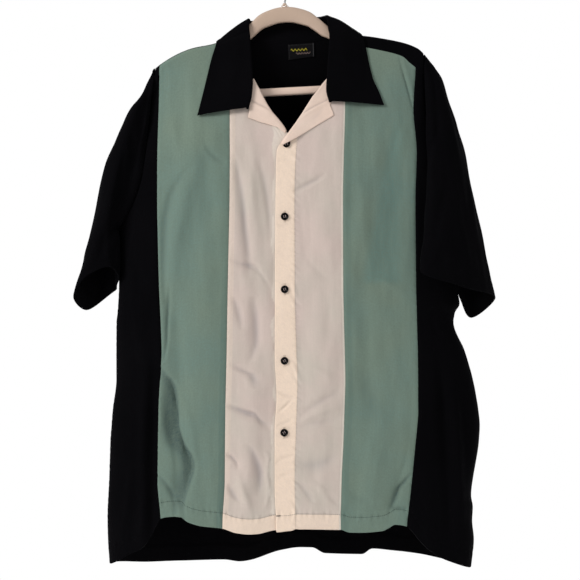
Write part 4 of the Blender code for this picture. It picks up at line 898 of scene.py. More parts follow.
# Stitch line of the placket, by height
PLACKET_STITCH = table(("height", "across"), (
    (-268, 18.7), (-296, 16.9), (-356, 15.4), (-491, 15.7), (-581, 18.1), (-626, 19.6),
    (-716, 16.9), (-775, 15.7), (-835, 16.5), (-860, 16.5)))


def even(count):
    return np.linspace(0.0, 1.0, count)


def crowded(count):
    """Parts from 0 to 1 that crowd a little at both ends."""
    return 0.5 * even(count) + 0.25 * (1 - np.cos(math.pi * even(count)))


def toward_side(count):
    return 1 - (1 - even(count)) ** 2.2


def seam(name, inset=0.0):
    """A seam line as a function of height, or a line beside it."""
    return lambda z: read(SEAMS, name, z) + inset


def front_edge(name, tuck):
    """A front's cut edge, which lies inside the fold line where there is a lapel and in the placket."""
    return lambda z: read(FRONT_EDGE, name, z) + tuck * ramp(z, TUCK_IN) * (1 - ramp(z, TUCK_OUT[name]))


def rim(side):
    return lambda z: side_at(side, z)


def upright(across):
    return lambda z: np.full_like(z, across)


def rows_along(face, start, reach):
    """Distances of a column's upper rows from the shoulder line."""
    quarter = SHOULDER_RADIUS * math.pi / 2
    bend = max(quarter, start + PAST_EDGE)
    if start < -quarter:
        flat = start + (-quarter - start) * even(WRAP_STEPS + 1)[:-1]
        round_top = -quarter + 2 * quarter * even(BEND_STEPS[face] - WRAP_STEPS + 1)[:-1]
        first = np.concatenate((flat, round_top))
    else:
        first = start + (bend - start) * even(BEND_STEPS[face] + 1)[:-1] ** 1.3
    return np.concatenate((first, bend + (reach - bend) * even(UPPER_STEPS[face] + 1)))


def body_column(face, first, last, split):
    """Points of one column, from the top of the panel to its hem."""
    hem = FRONT_HEM if face == FRONT else BACK_HEM
    bend = BEND_STEPS[face]
    upper_count = bend + UPPER_STEPS[face] + 1
    z = np.full(upper_count + LOWER_STEPS[face], FIRST_HEIGHT)
    for _ in range(6):
        x = first(z) + (last(z) - first(z)) * split
        top = float(read(BACK_TOP, "along", x[0]))
        start = (top if face == BACK else max(-top, 0.0)) + GAP / 2
        shoulder = read(SHOULDER, "height", np.concatenate((x[:bend], np.full(len(x) - bend, x[bend]))))
        along = rows_along(face, start, float(along_drop(shoulder[upper_count - 1] - ARMPIT)))
        upper = shoulder[:upper_count] - drop_along(np.abs(along))
        lower = ARMPIT + (read(hem, "height", x[upper_count:]) - ARMPIT) * even(LOWER_STEPS[face] + 1)[1:]
        z = np.concatenate((upper, lower))
    y = face * depth_at(face, x, z)
    wrapped = np.concatenate((along < 0, np.zeros(LOWER_STEPS[face], dtype=bool)))
    y = np.where(wrapped, -face * depth_at(-face, x, z), y)
    return np.column_stack((x, y, z))


def body_grid(face, stretches):
    """Points of a panel from its stretches: (edge, edge, splits)."""
    columns = [body_column(face, first, last, split)
               for first, last, splits in stretches for split in splits]
    return np.stack(columns, axis=1)


def side_stretch(side, face, count):
    inset = GAP / 2 if face == FRONT else 0.0
    if side == RIGHT:
        return rim(RIGHT), seam("right_green", -inset), 1 - toward_side(count)[::-1]
    return seam("left_green", inset), rim(LEFT), toward_side(count)


def under_step(x, z):
    """How far the under front is set back where the other front lies over it."""
    return OVERLAP_STEP * ramp(x, OVERLAP_ACROSS) * ramp(z, OVERLAP_DOWN)


def hem_groove(sheet, depth, pucker):
    return groove(sheet.from_foot - HEM_STITCH, 1.6 * MM, depth, pucker, sheet.from_first)


def hem_thickness(sheet, fold=HEM_FOLD):
    return CLOTH + HEM_THICK * (sheet.from_foot < fold)


def hem_stitches(name, sheet):
    make_stitches(name, [edge_line(sheet, "foot", HEM_STITCH)], "dark_thread")


def with_placket(count, placket_count, part=0.29):
    """Parts from 0 to 1, of which the first ones lie closer, in the placket."""
    return np.concatenate((part * crowded(placket_count), part + (1 - part) * crowded(count)[1:]))


FRONTS = (
    # name, first edge and last edge and the columns between them, cloth, whether the two edges are seams
    ("front_right_side", side_stretch(RIGHT, FRONT, 40), "black", (True, True)),
    ("front_right_green", (seam("right_green", GAP / 2), seam("right_white", -GAP / 2), crowded(60)),
     "green", (True, True)),
    ("front_right_white", (seam("right_white", GAP / 2), front_edge("right", -LAPEL_TUCK), crowded(60)),
     "white", (True, False)),
    ("front_left_white", (front_edge("left", LAPEL_TUCK), seam("left_white", -GAP / 2), with_placket(42, 22)),
     "white", (False, True)),
    ("front_left_green", (seam("left_white", GAP / 2), seam("left_green", -GAP / 2), crowded(60)),
     "green", (True, True)),
    ("front_left_side", side_stretch(LEFT, FRONT, 40), "black", (True, True)),
)


def front_height(name, sheet, seams):
    """Folds of a front, with its seams and the placket drawn in and its hem stitched flat."""
    x, _, z = sheet.places()
    height = body_folds(FRONT, x, z) * (0.6 + 0.4 * ease(sheet.from_foot / HEM_FOLD))
    height = height + hem_groove(sheet, *FRONT_HEM_DENT)
    for sewn, distance in zip(seams, (sheet.from_first, sheet.from_last)):
        if sewn:
            height = height + groove(distance, 2.2 * MM, 0.8 * MM, 0.16 * MM, sheet.from_top)
    if name == "front_left_white":
        aside = x - read(PLACKET_STITCH, "across", z)
        tied = groove(aside, 1.6 * MM, 0.2 * MM, 0.5 * MM, sheet.from_top + 9 * MM * BROAD[BACK](z, x))
        layer = 0.35 * MM * ease(0.5 - aside / (1.5 * MM))
        height = height + (tied + layer) * ramp(z, (-255 * MM, -275 * MM))
    return height


def facing_shows(x, z):
    """1 where the whiter facing of the right front shows through it, along its front edge."""
    reach = 17.5 * MM + 5 * MM * ramp(z, (-640 * MM, -760 * MM)) + 1.6 * MM * NARROW[BACK](z, x)
    return 0.6 * ease((x + reach) / (1.2 * MM)) * ease((z + 828 * MM) / (2 * MM))


def backing_shows(x, z):
    """1 where the left green strip lies on another layer and looks bluer: a wedge that widens downward."""
    left = 165 * MM - 53 * MM * (z + 210 * MM) / (-268 * MM)
    across = ramp(x, (left - 4 * MM, left + 14 * MM)) * (1 - 0.8 * ramp(x, (164 * MM, 184 * MM)))
    return 0.75 * across * ramp(z, (-200 * MM, -270 * MM)) * (1 - ramp(z, (-474 * MM, -486 * MM)))


def layer_inside(reach):
    """1 inside the reach of a layer behind the cloth, with a soft edge."""
    return ease(reach / ALLOWANCE_EDGE)


def front_marks(name, sheet):
    """Where the cloth of a white or green front lies double, has another layer behind it, and has painted
    shade in its troughs.
    """
    x, _, z = sheet.places()
    first, last = sheet.from_first, sheet.from_last
    turned_up = 0.8 * layer_inside(HEM_STITCH - sheet.from_foot)
    # Painted shade: the mark is 1 deep in the troughs of the wandering creases, where the cloth is coloured
    # darker and bluer
    marks = {"crease_shade": ease(-wander(FRONT_PATHS, x, z) / (5.5 * MM))}
    if name == "front_right_green":
        wide = layer_inside(SEAM_ALLOWANCE + 1 * MM - last) * ramp(z, (-420 * MM, -620 * MM))
        marks["doubled"] = 0.2 * layer_inside(SEAM_ALLOWANCE - np.minimum(first, last)) + 0.6 * wide
    elif name == "front_left_green":
        soft = ease((SEAM_ALLOWANCE + 5 * MM - first) / (5 * MM))
        marks["doubled"] = 0.5 * soft + 0.25 * ease(1 - last / (20 * MM))
        marks["lining"] = backing_shows(x, z)
    elif name == "front_right_white":
        marks["doubled"] = np.maximum(turned_up, 0.25 * layer_inside(SEAM_ALLOWANCE - first))
        marks["lining"] = facing_shows(x, z)
    else:
        placket = layer_inside(read(PLACKET_STITCH, "across", z) - x)
        marks["doubled"] = np.maximum(placket, turned_up)
        marks["lining"] = ease((2.6 * MM - last) / (0.8 * MM))
    return marks


def build_fronts():
    sheets = {}
    for name, stretch, look, seams in FRONTS:
        sheet = Sheet(body_grid(FRONT, [stretch]), flip=True)
        height = front_height(name, sheet, seams)
        if look != "black":
            sheet.marks = front_marks(name, sheet)
        if name == "front_right_white":
            x, _, z = sheet.places()
            sheet.points[:, 1] += sheet.flat(under_step(x, z))
        if name == "front_left_white":
            corner = (1 - ease(sheet.from_first / (18 * MM))) * (1 - ease(sheet.from_foot / (40 * MM)))
            sheet.points[:, 2] -= sheet.flat(CORNER_DROP * corner)
        sheet.move(height)
        dress(name, sheet, look, hem_thickness(sheet))
        hem_stitches(name + "_hem_thread", sheet)
        sheets[name] = sheet
        if name == "front_left_white":
            stitch_placket(sheet)
    return sheets


def stitch_placket(sheet):
    """Stitch line of the placket, and the tack where the hem's stitches start."""
    grid = sheet.grid()
    low = grid[:, 0, 2] < -262 * MM
    rows, columns = np.flatnonzero(low).astype(float), np.arange(grid.shape[1])
    across = read(PLACKET_STITCH, "across", grid[low, 0, 2])
    found = np.array([np.interp(place, row[:, 0], columns) for place, row in zip(across, grid[low])])
    line = line_on(sheet, rows, found, 0.12 * MM)
    make_stitches("placket_thread", [line], "pale_thread")
    start = edge_line(sheet, "foot", HEM_STITCH, 0.3 * MM, (0.0, 0.10))
    make_stitches("placket_tack", [start], "dark_thread", TACK)


def build_back():
    right, left = upright(NECK_COLUMNS[0] * MM), upright(NECK_COLUMNS[-1] * MM)
    sheet = Sheet(body_grid(BACK, [
        side_stretch(RIGHT, BACK, 26),
        (seam("right_green"), right, even(28)[1:-1]),
        (right, left, even(56)),
        (left, seam("left_green"), even(28)[1:-1]),
        side_stretch(LEFT, BACK, 26),
    ]))
    x, y, z = sheet.places()
    height = body_folds(BACK, x, z) * (0.45 + 0.55 * ease(sheet.from_foot / HEM_FOLD))
    height = height + hem_groove(sheet, *HEM_DENT)
    sheet.move(np.where(y > 0, height, 0.0))
    dress("back", sheet, "black", hem_thickness(sheet))
    hem_stitches("back_hem_thread", sheet)
    return sheet


# -------------------------------------------------------------------------------------------------- sleeves

SLEEVE_AROUND = 96
SLEEVE_ROWS = 110
SLEEVE_TOP = 5.0 * MM
UNDERARM_LAP = 1.8 * MM
LAP_DOWN = (-300.0 * MM, -360.0 * MM)
TOP_DROP = {RIGHT: 0.0, LEFT: 0.9}      # how far the top row lies down against the shoulder, in laps
CUFF_FOLD = 25.0 * MM
TAPE_START = 1.5 * MM           # the strip is measured from this far above the underarm point
TAPE_END = 5.0 * MM             # and goes on this far below there
TAPE_DEPTH = 0.7 * MM
TAPE_INSIDE = 6.0 * MM
TAPE_OUTSIDE = 3.2 * MM
TAPE_THICKNESS = 0.5 * MM


def armhole_edge(side, front, back):
    """Edge of the armhole, from the underarm point up the front, over the shoulder and down the back."""
    column = 0 if side == RIGHT else -1
    front_side = front[:BEND_STEPS[FRONT] + UPPER_STEPS[FRONT] + 1, column]
    back_side = back[:BEND_STEPS[BACK] + UPPER_STEPS[BACK] + 1, column]
    return np.concatenate((front_side[::-1], back_side))


def edge_at(edge, face, height):
    half = edge[edge[:, 1] * face >= 0]
    half = half[np.argsort(half[:, 2])]
    return np.array([np.interp(height, half[:, 2], half[:, axis]) for axis in range(3)])


def curve_through(points, count):
    """Evenly spaced points on a smooth curve through the given ones."""
    step = np.linalg.norm(np.diff(points, axis=0), axis=1)
    keys = np.concatenate(([0.0], np.cumsum(step)))
    slope = np.diff(points, axis=0) / step[:, None]
    inner = (slope[:-1] * step[1:, None] + slope[1:] * step[:-1, None]) / (step[:-1] + step[1:])[:, None]
    tangent = np.concatenate((slope[:1], inner, slope[-1:]))
    at = np.linspace(0.0, keys[-1], count)
    row = np.clip(np.searchsorted(keys, at) - 1, 0, len(step) - 1)
    part = ((at - keys[row]) / step[row])[:, None]
    rest, length = 1 - part, step[row][:, None]
    return (rest * rest * ((1 + 2 * part) * points[row] + part * length * tangent[row])
            + part * part * ((3 - 2 * part) * points[row + 1] - rest * length * tangent[row + 1]))


def sleeve_row(side, edge, number):
    """Points of one row of a sleeve, and whether its two ends are one point."""
    value = {name: float(read(SLEEVES[side], name, number * MM)) for name in SLEEVE_COLUMNS[1:]}
    first, *others = [np.array([value[f"{point}_{axis}"] for axis in "xyz"]) for point in SLEEVE_POINTS]
    last = first
    closed = first[2] <= ARMPIT + 0.01 * MM
    if not closed:
        height = first[2]
        lap = GAP + UNDERARM_LAP * float(ramp(height, LAP_DOWN))
        first, last = (edge_at(edge, face, height) + (side * lap, 0.0, 0.0) for face in (FRONT, BACK))
    return curve_through(np.array([first, *others, last]), SLEEVE_AROUND), closed


def top_row(side, edge):
    """Points of the row that is sewn over the shoulder."""
    low = edge[:, 2].max() - SLEEVE_TOP
    over = edge[edge[:, 2] > low]
    points = np.concatenate(([edge_at(edge, FRONT, low)], over, [edge_at(edge, BACK, low)]))
    lap = GAP + UNDERARM_LAP
    return curve_through(points, SLEEVE_AROUND) + (side * lap, 0.0, -TOP_DROP[side] * lap)


def build_sleeve(side, fronts, back):
    name = f"sleeve_{SIDE_NAMES[side]}"
    edge = armhole_edge(side, fronts[f"front_{SIDE_NAMES[side]}_side"].grid(), back.grid())
    top, first = top_row(side, edge), sleeve_row(side, edge, 1.0)[0]
    rows = [(top + (first - top) * part, False) for part in (0.0, 0.25, 0.5, 0.75)]
    rows += [sleeve_row(side, edge, number) for number in np.linspace(1.0, 12.0, SLEEVE_ROWS)]
    grid = np.array([points for points, closed in rows])
    every = np.arange(grid[:, :, 0].size).reshape(grid.shape[:2])
    names = every.copy()
    closed = np.array([shut for points, shut in rows])
    names[closed, -1] = names[closed, 0]
    sheet = Sheet(grid, names, flip=side == LEFT)
    x, y, z = sheet.places()
    facing = sheet.normal_grid()[:, :, 1]
    seam_away = np.minimum(sheet.from_first, sheet.from_last)
    calm = ease(seam_away / (9 * MM)) * ease(sheet.from_top / (20 * MM))
    calm = calm * (0.4 + 0.6 * ease(sheet.from_foot / CUFF_FOLD))
    height = 0.5 * MM * NARROW[FRONT](x * 1.3 + y, z) + 0.06 * MM * GRAIN(x + 2 * y, z)
    for face in (FRONT, BACK):
        height = height + relief(SLEEVE_CREASES[side, face], x, z) * ease(face * facing * 1.6)
    height = height * calm + hem_groove(sheet, *HEM_DENT) + groove(seam_away, 2.0 * MM, 0.5 * MM)
    height = height - 0.3 * MM * (1 - ease(sheet.from_top / (6 * MM)))
    sheet.move(np.where(names == every, height, 0.0))
    dress(name, sheet, "black", hem_thickness(sheet, CUFF_FOLD))
    hem_stitches(name + "_thread", sheet)


def build_armhole_tape(side, fronts, back):
    """Bound seam allowance that closes the armhole on the inside."""
    panel = fronts[f"front_{SIDE_NAMES[side]}_side"]
    edge = armhole_edge(side, panel.grid(), back.grid())
    normals = armhole_edge(side, panel.normal_grid(), back.normal_grid())
    keep = edge[:, 2] > ARMPIT + TAPE_START
    edge, normals = edge[keep], normals[keep]
    below = (0.0, 0.0, TAPE_END)
    edge = np.vstack([edge[:1] - below, edge, edge[-1:] - below])
    normals = np.vstack([normals[:1], normals, normals[-1:]])
    for _ in range(12):
        normals[1:-1] = (normals[:-2] + normals[1:-1] + normals[2:]) / 3
    normals[:, 0] *= 0.3
    normals /= np.linalg.norm(normals, axis=1)[:, None]
    middle = edge - normals * (CLOTH + TAPE_DEPTH)
    across = np.linspace(-TAPE_INSIDE, TAPE_OUTSIDE, 8)
    low = 1 - ramp(edge[:, 2:3], (ARMPIT + 8 * MM, ARMPIT + 26 * MM))
    reach = across * (1 + low * np.where(across > 0, 1.6, -0.3))
    fall = np.abs(normals[:, 2:3]) * np.maximum(across, 0.0) * 1.3 + 0.7 * low * across
    grid = middle[:, None, :] + np.stack([side * reach, np.zeros_like(fall), -fall], axis=2)
    make_shell(f"armhole_tape_{SIDE_NAMES[side]}", Sheet(grid, flip=side == RIGHT), "black", TAPE_THICKNESS)


# --------------------------------------------------------------------------------------- collar and lapels

COLLAR_STATIONS = 230
COLLAR_STITCH = 6.0 * MM
LAPEL_STATIONS = 91
FOLD_COLUMNS = 12               # the fall and the leaf start after this many columns


def sewn_point(x, z, lift):
    """Point above the front, square off the cloth where that bends over the shoulder."""
    drop = max(float(read(SHOULDER, "height", x)) - z, 0.0)
    turn = math.acos(1 - min(drop / SHOULDER_RADIUS, 1.0))
    return np.array((x, -float(depth_at(FRONT, x, z)) - lift * math.sin(turn), z + lift * math.cos(turn)))


def collar_front(stand_z, stand_x, stand_off, fold_z, fold_x, fold_off, edge_z, edge_x, edge_off):
    """Stand, fold and edge points of one row of the collar on a front."""
    return [sewn_point(stand_x, stand_z, stand_off), on_cloth(FRONT, fold_x, fold_z, fold_off),
            on_cloth(FRONT, edge_x, edge_z, edge_off)]


def collar_neck(across, sewn_to):
    """Stand, fold and edge points at a place round the neck, on the back's top edge."""
    value = {name: float(read(COLLAR_NECK, name, across)) for name in COLLAR_NECK}
    fold, edge = ([value[f"{line}_{axis}"] for axis in "xyz"] for line in ("fold", "edge"))
    x, y, z = sewn_to
    if y > 0:
        stand = np.array((x, y - CLOTH * min(y / SHOULDER_RADIUS, 1.0), z + GAP))
    else:
        stand = sewn_point(x, z, STAND_LIFT)
    return [stand, np.array(fold), np.array(edge)]


def collar_lines():
    """Stand, fold and edge points of the collar, from its right end round the neck to its left end."""
    across = np.array(NECK_COLUMNS) * MM
    splits = (across - across[0]) / (across[-1] - across[0])
    top_edge = body_grid(BACK, [(upright(across[0]), upright(across[-1]), splits)])[0]
    lines = [collar_front(*row) for row in zip(*COLLAR_FRONTS[RIGHT].values())]
    for place in COLLAR_NECK["across"]:
        nearest = np.argmin(np.abs(top_edge[:, 0] - place))
        lines.append(collar_neck(place, top_edge[nearest]))
    left = [collar_front(*row) for row in zip(*COLLAR_FRONTS[LEFT].values())]
    return np.array(lines + left[::-1])


def collar_section(stand, fold, edge, heading):
    """Points across the collar: up the stand, round the fold and down the fall."""
    up = fold - (stand + edge) / 2
    up = unit(up - heading * np.dot(up, heading))
    out = np.cross(up, heading)
    centre = fold - up * COLLAR_FOLD
    low = centre - out * COLLAR_FOLD
    points = [stand + (low - stand) * part for part in (0.0, 0.2, 0.4, 0.6, 0.8)]
    for turn in np.radians(np.linspace(0, 180, 11)):
        points.append(centre + COLLAR_FOLD * (up * math.sin(turn) - out * math.cos(turn)))
    last = points[-1]
    for part in crowded(26)[1:]:
        points.append(last + (edge - last) * part + out * COLLAR_BOW * math.sin(math.pi * part))
    return points


def build_collar():
    coarse = collar_lines()
    keys = np.arange(len(coarse), dtype=float)
    at = np.linspace(0, keys[-1], COLLAR_STATIONS)
    columns = coarse.reshape(len(coarse), -1).T
    smooth = [np.interp(at, keys, column) for column in columns[:3]]
    smooth += [smooth_value(keys, column, at) for column in columns[3:]]
    lines = np.column_stack(smooth).reshape(len(at), 3, 3)
    headings = np.gradient(lines[:, 1], axis=0)
    for _ in range(6):
        headings[1:-1] = (headings[:-2] + 2 * headings[1:-1] + headings[2:]) / 4
    grid = np.array([collar_section(*line, unit(heading)) for line, heading in zip(lines, headings)])
    sheet = Sheet(grid, flip=True)
    x, y, z = sheet.places()
    edge, ends = sheet.from_last, np.minimum(sheet.from_top, sheet.from_foot)
    fall = ease((sheet.from_first - sheet.from_first[:, FOLD_COLUMNS, None]) / (12 * MM))
    height = relief(COLLAR_CREASES, x, z) * (y < 0)
    height = height + 0.35 * MM * NARROW[BACK](x, z) * (0.5 + 0.5 * ease(edge / (10 * MM)))
    for distance in (edge, ends):
        height = height + groove(distance - COLLAR_STITCH, 1.5 * MM, 0.3 * MM, 0.12 * MM, sheet.from_top)
        height = height + 0.25 * MM * bell((distance - 2.5 * MM) / (2 * MM))
    sheet.move(height * fall)
    dress("collar", sheet, "black")
    line = edge_line(sheet, "last", COLLAR_STITCH, part=(0.02, 0.98))
    make_stitches("collar_thread", [line], "dark_thread")


def lapel_section(side, fold_z, fold_x, edge_z, edge_x, outer):
    """Points across a lapel: its facing behind the front, the fold, and the leaf that lies on the front."""
    fold, edge = np.array((fold_x, fold_z)), np.array((edge_x, edge_z))
    width = np.linalg.norm(edge - fold)
    heading = (edge - fold) / width
    inner = -(2 * CLOTH + GAP)
    radius, middle = (outer - inner) / 2, (outer + inner) / 2
    bow = LAPEL_BOW * min((width - radius) / BOW_WIDTH, 1.0)
    spots = [(FACING_INSIDE * (1 - part), inner) for part in (0.0, 0.25, 0.5, 0.75)]
    for turn in np.radians(np.linspace(0, 180, 11)):
        spots.append((radius - radius * math.sin(turn), middle - radius * math.cos(turn)))
    for part in crowded(22)[1:]:
        spots.append((radius + (width - radius) * part, outer + bow * math.sin(math.pi * part)))
    points = []
    for reach, lift in spots:
        x, z = fold + heading * reach
        point = on_cloth(FRONT, x, z, lift)
        if side == RIGHT:
            point[1] += under_step(x, z)
        points.append(point)
    return points


def build_lapel(side):
    source = LAPELS[side]
    keys = np.arange(len(source["off"]), dtype=float)
    at = np.linspace(0, keys[-1], LAPEL_STATIONS)
    columns = [np.interp(at, keys, column) for column in source.values()]
    sheet = Sheet(np.array([lapel_section(side, *row) for row in zip(*columns)]), flip=side == RIGHT)
    x, _, z = sheet.places()
    leaf = ease((sheet.from_first - sheet.from_first[:, FOLD_COLUMNS, None]) / (5 * MM))
    creases = relief(LAPEL_CREASES, x, z)
    rolled = 0.2 * MM * bell((sheet.from_last - 2.0 * MM) / (1.8 * MM))
    # Painted shade in the lapel's creases: the leaf is coloured darker and bluer there
    sheet.marks["crease_shade"] = 0.55 * ease(-creases / (1.2 * MM)) * leaf
    sheet.move((creases + 0.25 * MM * NARROW[FRONT](x, z) + rolled) * leaf)
    dress(f"lapel_{SIDE_NAMES[side]}", sheet, "facing")


# ------------------------------------------------------------------------------- label, buttons, buttonholes

LABEL_THICKNESS = 0.6 * MM
LABEL_STITCHED = 1.4 * MM       # how far inside its edge the label is stitched
LABEL_LIFT = 0.08 * MM
# Button's section down its outer side, in parts of its radius and of its thickness
BUTTON_PROFILE = ((0, 0.62), (0.30, 0.62), (0.58, 0.64), (0.70, 0.78), (0.79, 0.96), (0.87, 1), (0.94, 0.93),
                  (0.985, 0.78), (1, 0.6), (0.99, 0.4), (0.93, 0.18), (0.8, 0.04), (0.6, 0), (0, 0))
BUTTON_TURN = math.radians(7)   # each button is turned this much further than the one above
HOLE_PLACE = 1.35 * MM
HOLE_RADIUS = 0.75 * MM
DRILL_ENDS = (-2.0 * MM, 5.0 * MM)
# Thread across a pair of holes: its place in millimetres and its height in parts of the button's thickness
BUTTON_THREAD = ((-1.35, 0.5), (-1.1, 0.78), (0.0, 0.84), (1.1, 0.78), (1.35, 0.5))
BUTTON_THREAD_RADIUS = 0.34 * MM
BUTTONHOLE_HALF = 9.0 * MM
BUTTONHOLE_ASIDE = 0.9 * MM


def build_label():
    top_left, top_right, low_left, low_right = np.array(LABEL_CORNERS) * MM
    down, over = even(30)[:, None, None], even(44)[:, None]
    place = (1 - down) * (top_left + (top_right - top_left) * over) + down * (
        low_left + (low_right - low_left) * over)
    x, z = np.moveaxis(place, 2, 0)
    y = depth_at(BACK, x, np.minimum(z, LABEL_STRAIGHT)) - (CLOTH + LABEL_CLOTH + LABEL_GAP)
    sheet = Sheet(np.stack((x, y, z), axis=2), flip=True)
    edge = np.min((sheet.from_first, sheet.from_last, sheet.from_top, sheet.from_foot), axis=0)
    wavy = 0.25 * MM * np.sin(sheet.from_first / (9 * MM)) * ease(edge / (4 * MM))
    sheet.move(groove(edge - 1.6 * MM, 0.8 * MM, 0.18 * MM) + wavy)
    dress("neck_label", sheet, "label", LABEL_THICKNESS, "tape")
    lines = [edge_line(sheet, side, LABEL_STITCHED, LABEL_LIFT) for side in ("last", "first", "top")]
    make_stitches("neck_label_thread", lines, "grey_thread", LABEL_STITCH)


def button_blank():
    """Turned button with its four holes drilled."""
    profile = [(part * BUTTON_RADIUS, tall * BUTTON_THICKNESS) for part, tall in BUTTON_PROFILE]
    blank = add_object("blank", turned_mesh("blank", profile, 56))
    holes = [[ring((across, up, end), HOLE_RADIUS, (1, 0, 0), (0, 1, 0), 16) for end in DRILL_ENDS]
             for across in (-HOLE_PLACE, HOLE_PLACE) for up in (-HOLE_PLACE, HOLE_PLACE)]
    drill = add_object("drill", tubes_mesh("drill", holes))
    cut = blank.modifiers.new("holes", "BOOLEAN")
    cut.operation, cut.solver, cut.object = "DIFFERENCE", "EXACT", drill
    mesh = bpy.data.meshes.new_from_object(blank.evaluated_get(bpy.context.evaluated_depsgraph_get()))
    mesh.materials.clear()
    for item in (blank, drill):
        bpy.data.objects.remove(item, do_unlink=True)
    return mesh


def build_buttons():
    blank = button_blank()
    beside = (-BUTTON_RADIUS, 0.0, BUTTON_RADIUS)
    threads = []
    for across in (-HOLE_PLACE, HOLE_PLACE):
        line = np.array([(across, place * MM, part * BUTTON_THICKNESS) for place, part in BUTTON_THREAD])
        threads.append(rings_along(line, [BUTTON_THREAD_RADIUS] * len(line), (1.0, 0.0, 0.0), 8))
    for number, (x, z) in enumerate(np.array(BUTTON_PLACES) * MM, start=1):
        seat = min(-depth_at(FRONT, x + right, z + up) for right in beside for up in beside)
        place = Matrix.Translation((x, seat - GAP, z)) @ Matrix.Rotation(math.radians(90), 4, "X")
        place = place @ Matrix.Rotation(number * BUTTON_TURN, 4, "Z")
        # The thread's pale colour is partly painted highlight, standing in for the buttons' glints
        for kind, mesh, look, sharp, node in (
                ("turned", blank.copy(), "button", 35, f"button_{number}"),
                ("thread", tubes_mesh("thread", threads), "button_thread_painted_glint", 80, None)):
            mesh.name = f"button_{number}_{kind}"
            mesh.transform(place)
            add_piece(mesh.name, mesh, look, sharp, node)


def build_buttonholes(sheet):
    """Upright buttonholes in the placket, whose ends show above and below the buttons."""
    grid = sheet.grid()
    rows, columns = np.arange(grid.shape[0], dtype=float), np.arange(grid.shape[1])
    lines = []
    for x, z in np.array(BUTTON_PLACES[1:]) * MM:
        row = np.interp(-np.linspace(z + BUTTONHOLE_HALF, z - BUTTONHOLE_HALF, 40), -grid[:, 4, 2], rows)
        for aside in (-BUTTONHOLE_ASIDE, BUTTONHOLE_ASIDE):
            column = [np.interp(x + aside, grid[int(r), :, 0], columns) for r in row]
            lines.append(line_on(sheet, row, np.array(column), STITCH_LIFT))
    make_stitches("buttonhole_thread", lines, "pale_thread", BUTTONHOLE_STITCH)


# --------------------------------------------------------------------------------------------------- hanger

def hanger_path():
    """Middle line of the frame and its height there, once round from the arm's middle outward."""
    reach = np.concatenate((np.linspace(0, 60, 19), np.linspace(66, 190, 22))) * MM
    tops, talls = read(HANGER_ARM, "top", reach), read(HANGER_ARM, "tall", reach)
    arm = [(x, top - tall / 2, tall) for x, top, tall in zip(reach, tops, talls)]
    corner = np.array([(arm[-1][0], arm[-1][1])] + [(x * MM, z * MM) for x, z in HANGER_BEND]
                      + [(150.0 * MM, BAR_HEIGHT)])
    keys = np.arange(len(corner), dtype=float)
    at = np.linspace(0, keys[-1], 26)[1:]
    tall_end = arm[-1][2]
    bend = [(float(smooth_value(keys, corner[:, 0], t)), float(smooth_value(keys, corner[:, 1], t)),
             BAR_TALL + (tall_end - BAR_TALL) * max(0.0, 1 - t)) for t in at]
    bar = [(x * MM, BAR_HEIGHT, BAR_TALL) for x in (112.0, 75.0, 38.0)]
    half = arm + bend + bar
    return half + [(0.0, BAR_HEIGHT, BAR_TALL)] + [(-x, z, tall) for x, z, tall in half[:0:-1]], len(arm)


def signed_power(value, exponent):
    return math.copysign(abs(value) ** exponent, value)


def build_hanger():
    path, arm = hanger_path()
    path = np.array(path)
    count = len(path)
    around = np.radians(np.arange(0, 360, 10))
    vertices = []
    for index, (*middle, tall) in enumerate(path):
        ahead = unit(path[(index + 1) % count, :2] - path[index - 1, :2])
        normal = np.array((-ahead[1], ahead[0]))
        if index < arm or index > count - arm:
            tall *= abs(ahead[0])
        for angle in around:
            up = signed_power(math.cos(angle), HANGER_CROWN) * tall / 2
            deep = signed_power(math.sin(angle), HANGER_CHEEK) * HANGER_THICKNESS / 2
            x, z = middle + normal * up
            vertices.append((x, deep, z))
    names = np.arange(len(vertices)).reshape(count, -1)
    names = np.pad(names, ((0, 1), (0, 1)), mode="wrap")
    mesh = make_mesh("hanger_moulding", vertices, grid_faces(names)[:, ::-1].tolist())
    pivot = Matrix.Translation((0.0, 0.0, HANGER_PIVOT))
    mesh.transform(pivot @ Matrix.Rotation(-HANGER_TILT, 4, "Y") @ pivot.inverted())
    add_piece("hanger_moulding", mesh, "plastic", 70, "hanger_frame")


def build_neck_of_hook():
    """Oval moulded neck, flared like a trumpet, that the hook's shank turns in."""
    flare = [(FERRULE_RADIUS * (0.42 + 0.58 * part ** 2.2), FERRULE_TOP - FERRULE_TALL * part)
             for part in even(16)]
    mesh = turned_mesh("hook_neck", [(0.0, FERRULE_TOP), *flare, (0.0, FERRULE_TOP - FERRULE_TALL)], 48)
    mesh.transform(Matrix.Diagonal((1.0, FERRULE_DEPTH / FERRULE_RADIUS, 1.0, 1.0)))
    add_piece("hook_neck", mesh, "plastic", 60, "hanger_ferrule")


HOOK_TIP = (0.97, 0.9, 0.75, 0.45)      # radius of the wire at its last points, in parts of its own


def build_hook():
    turns = np.radians(np.linspace(*HOOK_TURN, 60))
    bend = np.column_stack((np.cos(turns), np.sin(turns))) * HOOK_RADIUS + (0.0, HOOK_WIRE - HOOK_RADIUS)
    points = np.concatenate((np.array(HOOK_SHANK) * MM, bend, bend[-1:] + HOOK_END))
    keys = np.concatenate(([0.0], np.cumsum(np.linalg.norm(np.diff(points, axis=0), axis=1))))
    at = np.linspace(0.0, keys[-1], 150)
    x, z = (smooth_value(keys, column, at) for column in points.T)
    radii = HOOK_WIRE * np.concatenate((np.ones(len(at) - len(HOOK_TIP)), HOOK_TIP))
    rings = rings_along(np.column_stack((x, np.zeros_like(x), z)), radii, (0.0, 1.0, 0.0), 16)
    add_piece("hook_wire", tubes_mesh("hook_wire", [rings]), "steel", 60, "hanger_hook")


# ------------------------------------------------------------------------------------------------ materials

THREAD = 0.55 * MM              # width of the cloth's threads


